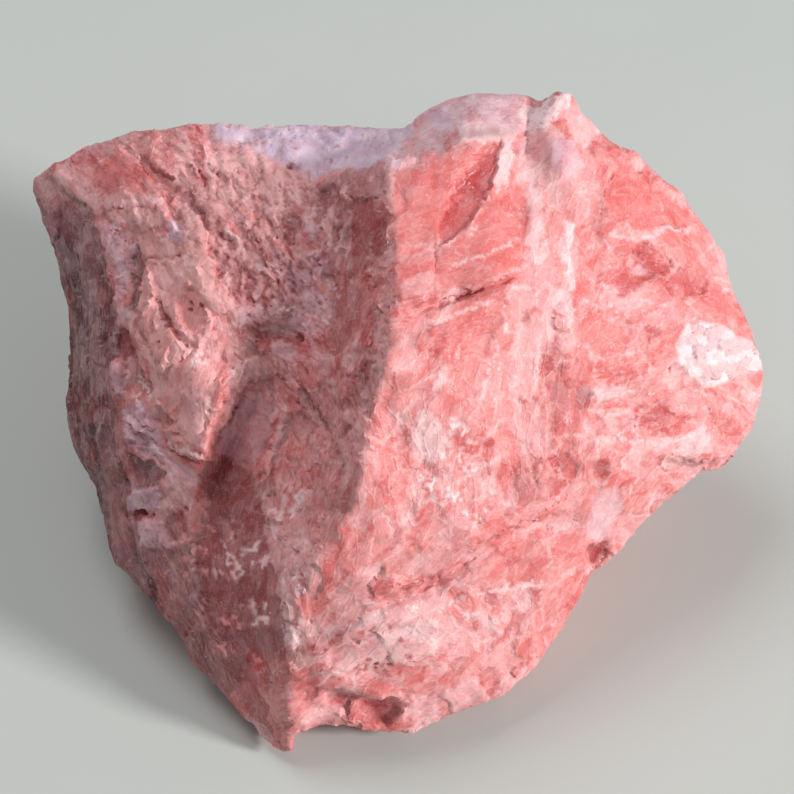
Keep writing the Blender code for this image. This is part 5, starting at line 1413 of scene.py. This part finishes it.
class Nodes:
    """A small helper that adds nodes to a tree and joins them."""

    def __init__(self, tree):
        self.tree = tree

    def add(self, kind, inputs=None, **settings):
        made = self.tree.nodes.new(kind)
        for key, value in settings.items():
            setattr(made, key, value)
        for key, value in (inputs or {}).items():
            if isinstance(value, bpy.types.NodeSocket):
                self.tree.links.new(value, made.inputs[key])
            else:
                made.inputs[key].default_value = value
        return made

    def sum(self, operation, *values, clamp=False):
        made = self.add("ShaderNodeMath", dict(enumerate(values)), operation=operation)
        made.use_clamp = clamp
        return made.outputs[0]

    def vector(self, operation, first, second=None, scale=None):
        inputs = {0: first}
        if second is not None:
            inputs[1] = second
        if scale is not None:
            inputs["Scale"] = scale
        return self.add("ShaderNodeVectorMath", inputs, operation=operation).outputs[0]

    def ramp(self, value, low, high, to_low=0.0, to_high=1.0):
        inputs = {"Value": value, "From Min": low, "From Max": high, "To Min": to_low, "To Max": to_high}
        return self.add("ShaderNodeMapRange", inputs, interpolation_type="SMOOTHSTEP").outputs[0]

    def blend(self, share, first, second, way="MIX"):
        made = self.add("ShaderNodeMix", data_type="RGBA", blend_type=way)
        for index, value in ((0, share), (6, first), (7, second)):
            if isinstance(value, bpy.types.NodeSocket):
                self.tree.links.new(value, made.inputs[index])
            else:
                made.inputs[index].default_value = value
        return made.outputs[2]


def new_material(name):
    material = bpy.data.materials.new(name)
    material.use_nodes = True
    material.node_tree.nodes.clear()
    return material, Nodes(material.node_tree)


def four(colour):
    return (*colour, 1.0)


def stone_material(colours):
    """Rhodochrosite: painted tints broken by threads, veins, tilted cleavage facets and specks."""
    material, nodes = new_material("rhodochrosite")
    place = nodes.add("ShaderNodeTexCoord").outputs["Object"]
    tint = nodes.add("ShaderNodeAttribute", attribute_name="tint").outputs["Color"]
    finish = nodes.add("ShaderNodeAttribute", attribute_name="finish").outputs["Color"]
    gloss, blocky, lively = nodes.add("ShaderNodeSeparateColor", {"Color": finish}).outputs[:3]
    grow = nodes.add("ShaderNodeAttribute", attribute_name="grow").outputs["Fac"]

    # Coordinates in millimetres, leaned with the frame, then turned with each crystal's growth.
    leaned = nodes.add("ShaderNodeMapping", {
        "Vector": place, "Rotation": (-(math.pi / 2 - FRAME_RISE), 0.0, 0.0),
        "Scale": (1.0 / MM, 1.0 / MM, 1.0 / MM)}).outputs[0]
    wander = nodes.add("ShaderNodeTexNoise", {"Vector": leaned, "Scale": 0.4, "Detail": 1.0})
    wander = nodes.vector("SUBTRACT", wander.outputs["Color"], (0.5, 0.5, 0.5))
    leaned = nodes.vector("ADD", leaned, nodes.vector("SCALE", wander, scale=0.7))
    grown = nodes.add("ShaderNodeVectorRotate", {"Vector": leaned, "Angle": grow},
                      rotation_type="Z_AXIS").outputs[0]

    def stretched(*shares):
        return nodes.vector("MULTIPLY", grown, shares)

    threads = nodes.add("ShaderNodeTexNoise", {
        "Vector": stretched(0.16, 1.5, 0.8), "Scale": 1.0, "Detail": 3.0, "Roughness": 0.55}).outputs["Fac"]
    traces = nodes.add("ShaderNodeTexNoise", {
        "Vector": stretched(0.05, 3.6, 1.4), "Scale": 1.0, "Detail": 1.0}).outputs["Fac"]
    plates = stretched(0.36, 0.85, 0.6)
    rims = nodes.add("ShaderNodeTexVoronoi", {"Vector": plates, "Scale": 1.0},
                     feature="DISTANCE_TO_EDGE").outputs["Distance"]
    plate = nodes.add("ShaderNodeTexVoronoi", {"Vector": plates, "Scale": 1.0})
    plate_tone = nodes.add("ShaderNodeSeparateColor", {"Color": plate.outputs["Color"]}).outputs[0]

    def facets(vector, scale):
        """A mosaic of flat facets, each with its own slant: its height and its tone."""
        found = nodes.add("ShaderNodeTexVoronoi", {"Vector": vector, "Scale": scale},
                          distance="CHEBYCHEV")
        gap = nodes.vector("SUBTRACT", vector, found.outputs["Position"])
        slant = nodes.vector("SUBTRACT", found.outputs["Color"], (0.5, 0.5, 0.5))
        dot = nodes.add("ShaderNodeVectorMath", {0: gap, 1: slant}, operation="DOT_PRODUCT")
        tone = nodes.add("ShaderNodeSeparateColor", {"Color": found.outputs["Color"]}).outputs[1]
        return dot.outputs["Value"], tone

    large, large_tone = facets(stretched(0.6, 1.0, 0.8), 0.9)
    small, small_tone = facets(stretched(0.8, 1.2, 1.0), 2.6)
    cloud, speck, grit = (
        nodes.add("ShaderNodeTexNoise", {
            "Vector": leaned, "Scale": scale, "Detail": detail, "Roughness": rough}).outputs["Fac"]
        for scale, detail, rough in ((0.45, 6.0, 0.62), (2.6, 3.0, 0.6), (5.5, 2.0, 0.7)))

    deep = nodes.blend(1.0, tint, four((0.80, 0.55, 0.57)), "MULTIPLY")
    bright = nodes.blend(0.45, tint, four(colours.paler))
    drawn = nodes.ramp(blocky, 0.0, 1.0, 1.0, 0.45)
    cloudy = nodes.ramp(cloud, 0.45, 0.55)
    colour = tint
    # What is read, from, to, strength, colour, and what holds it back.
    for what, low, high, strength, tone, held in (
        (plate_tone, 0.62, 0.64, 0.5, deep, None), (plate_tone, 0.30, 0.28, 0.5, bright, None),
        (rims, 0.06, 0.015, 0.8, bright, cloudy),
        (large_tone, 0.70, 0.71, 0.45, deep, None), (large_tone, 0.27, 0.26, 0.45, bright, None),
        (small_tone, 0.24, 0.23, 0.35, bright, None), (small_tone, 0.80, 0.81, 0.3, deep, None),
        (threads, 0.46, 0.38, 0.2, deep, drawn), (threads, 0.57, 0.63, 0.3, bright, drawn),
        (traces, 0.60, 0.63, 0.4, bright, drawn), (traces, 0.38, 0.35, 0.3, deep, drawn),
        (cloud, 0.44, 0.30, 0.25, deep, None), (cloud, 0.57, 0.70, 0.2, bright, None),
    ):
        mask = nodes.ramp(what, low, high, 0.0, strength)
        if held is not None:
            mask = nodes.sum("MULTIPLY", mask, held)
        colour = nodes.blend(nodes.sum("MULTIPLY", mask, lively, clamp=True), colour, tone)
    for what, low, high, strength, tone in (
        (grit, 0.56, 0.62, 0.22, bright), (grit, 0.44, 0.38, 0.22, deep),
        (speck, 0.66, 0.70, 0.45, four(colours.white)), (speck, 0.33, 0.27, 0.3, four(colours.wine)),
    ):
        colour = nodes.blend(nodes.ramp(what, low, high, 0.0, strength), colour, tone)

    rough = nodes.ramp(gloss, 0.0, 1.0, 0.66, 0.42)
    rough = nodes.sum("ADD", rough, nodes.ramp(large_tone, 0.86, 0.88, 0.0, -0.14))
    rough = nodes.sum("ADD", rough, nodes.ramp(speck, 0.3, 0.7, 0.06, -0.08), clamp=True)

    height = nodes.sum("MULTIPLY", threads, 0.03)  # The bump's heights are in millimetres.
    for part, share in ((large, 0.4), (small, 0.24), (cloud, 0.05), (traces, 0.02)):
        height = nodes.sum("ADD", height, nodes.sum("MULTIPLY", part, share))
    height = nodes.sum("ADD", height, nodes.ramp(rims, 0.0, 0.1, 0.03, 0.0))
    height = nodes.sum("MULTIPLY", height, nodes.ramp(lively, 0.0, 1.0, 0.25, 1.0))
    height = nodes.sum("ADD", height, nodes.sum("MULTIPLY", speck, 0.04))
    height = nodes.sum("ADD", height, nodes.sum("MULTIPLY", grit, 0.02))
    bump = nodes.add("ShaderNodeBump", {"Strength": 1.0, "Distance": MM, "Height": height})

    shader = nodes.add("ShaderNodeBsdfPrincipled", {
        "Base Color": colour, "Roughness": rough, "Normal": bump.outputs[0], "IOR": 1.6,
        "Specular IOR Level": 0.32, "Subsurface Weight": 0.12, "Subsurface Radius": (1.0, 0.6, 0.55),
        "Subsurface Scale": 0.0006})
    output = nodes.add("ShaderNodeOutputMaterial")
    material.node_tree.links.new(shader.outputs[0], output.inputs[0])
    return material


def floor_material(colour):
    """Matt pale paint with a trace of mottling."""
    material, nodes = new_material("pale floor")
    place = nodes.add("ShaderNodeTexCoord").outputs["Object"]
    mottle = nodes.add("ShaderNodeTexNoise", {"Vector": place, "Scale": 30.0, "Detail": 4.0})
    darker = tuple(part * 0.93 for part in colour)
    tint = nodes.blend(mottle.outputs["Fac"], four(colour), four(darker))
    shader = nodes.add("ShaderNodeBsdfPrincipled", {"Base Color": tint, "Roughness": 0.7})
    output = nodes.add("ShaderNodeOutputMaterial")
    material.node_tree.links.new(shader.outputs[0], output.inputs[0])
    return material


# ---------------------------------------------------------------- operators


class RHODO_OT_stone(bpy.types.Operator):
    """Carve and colour the stone over its plain solid"""

    bl_idname = "rhodo.stone"
    bl_label = "Make the stone"

    def execute(self, context):
        settings = context.scene.rhodo_shape
        stone = copy_plain_stone()
        split_long_edges(stone, settings)
        wear()
        seen = carve(stone, settings)
        colour_in(stone, seen, context.scene.rhodo_colours)
        stone.data.materials.append(stone_material(context.scene.rhodo_colours))
        deselect_all()
        stone.select_set(True)
        context.view_layer.objects.active = stone
        bpy.ops.object.shade_smooth_by_angle(angle=SMOOTH_ANGLE)
        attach(stone, "root")
        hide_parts(PLAIN_STONE)
        return {"FINISHED"}


FLOOR_SIZE, LAMP_DISTANCE, CLIP_START = 3.0, 0.9, 0.01
SENSOR_WIDTH = 36.0
SURROUND = (0.93, 0.95, 1.0, 1.0)
# Lamps: (way to it as shares to the right, up and towards the eye; width; colour).
LAMPS = {
    "key lamp": ((0.82, 0.02, 0.50), 0.16, (1.0, 0.97, 0.96)),
    "sky lamp": ((-0.30, 0.82, 0.45), 0.5, (1.0, 0.96, 0.97)),
}


def aim(thing, away):
    """Turns a lamp or camera to look back along the direction that leads to it."""
    thing.rotation_euler = Vector(-away).to_track_quat("-Z", "Y").to_euler()


def frame_direction(right, up, towards):
    """A unit direction from its shares to the frame's right, up its plane and towards the eye."""
    way = np.array([right, 0.0, 0.0]) + up * FRAME_UP + towards * TOWARDS_EYE
    return way / np.linalg.norm(way)


class RHODO_OT_stage(bpy.types.Operator):
    """Lay the floor and set the lamps and the camera"""

    bl_idname = "rhodo.stage"
    bl_label = "Set the stage"

    def execute(self, context):
        look = context.scene.rhodo_stage
        deselect_all()
        bpy.ops.mesh.primitive_plane_add(size=FLOOR_SIZE)
        floor = context.active_object
        floor.name = "floor"
        floor.data.materials.append(floor_material(tuple(look.floor)))

        middle = FRAME_CENTRE * MM
        powers = {"key lamp": look.key_power, "sky lamp": look.sky_power}
        for name, (shares, size, colour) in LAMPS.items():
            way = frame_direction(*shares)
            bpy.ops.object.light_add(type="AREA", location=middle + way * LAMP_DISTANCE)
            lamp = context.active_object
            lamp.name, lamp.data.shape, lamp.data.size = name, "DISK", size
            lamp.data.energy, lamp.data.color = powers[name], colour
            aim(lamp, way)

        world = bpy.data.worlds.new("soft surround")
        context.scene.world = world
        world.use_nodes = True
        surround = world.node_tree.nodes["Background"]
        surround.inputs["Color"].default_value = SURROUND
        surround.inputs["Strength"].default_value = look.fill

        eye = FRAME_CENTRE + TOWARDS_EYE * EYE_DISTANCE
        bpy.ops.object.camera_add(location=eye * MM, rotation=(math.pi / 2 - FRAME_RISE, 0.0, 0.0))
        camera = context.active_object
        camera.name = "eye"
        camera.data.sensor_width = SENSOR_WIDTH
        camera.data.lens = SENSOR_WIDTH * EYE_DISTANCE / (2.0 * FRAME_MIDDLE)
        camera.data.clip_start = CLIP_START
        context.scene.camera = camera
        context.scene.view_settings.view_transform = "Standard"
        deselect_all()
        return {"FINISHED"}


class RHODO_PT_panel(bpy.types.Panel):
    """Buttons and settings of the specimen"""

    bl_label = "Rhodochrosite"
    bl_space_type = "VIEW_3D"
    bl_region_type = "UI"
    bl_category = "Rhodochrosite"

    def draw(self, context):
        scene = context.scene
        for operator, group in (
            (RHODO_OT_stone, (scene.rhodo_shape, scene.rhodo_colours)),
            (RHODO_OT_stage, (scene.rhodo_stage,)),
        ):
            box = self.layout.box()
            box.operator(operator.bl_idname)
            for settings in group:
                for name in settings.__annotations__:
                    box.prop(settings, name)


CLASSES = (StoneShape, StoneColours, StageLook, RHODO_OT_stone, RHODO_OT_stage, RHODO_PT_panel)


def register():
    for each in CLASSES:
        bpy.utils.register_class(each)
    bpy.types.Scene.rhodo_shape = bpy.props.PointerProperty(type=StoneShape)
    bpy.types.Scene.rhodo_colours = bpy.props.PointerProperty(type=StoneColours)
    bpy.types.Scene.rhodo_stage = bpy.props.PointerProperty(type=StageLook)


def unregister():
    del bpy.types.Scene.rhodo_stage
    del bpy.types.Scene.rhodo_colours
    del bpy.types.Scene.rhodo_shape
    for each in reversed(CLASSES):
        bpy.utils.unregister_class(each)


def main():
    register()
    bpy.ops.rhodo.stone()
    bpy.ops.rhodo.stage()


if __name__ == "__main__":
    main()
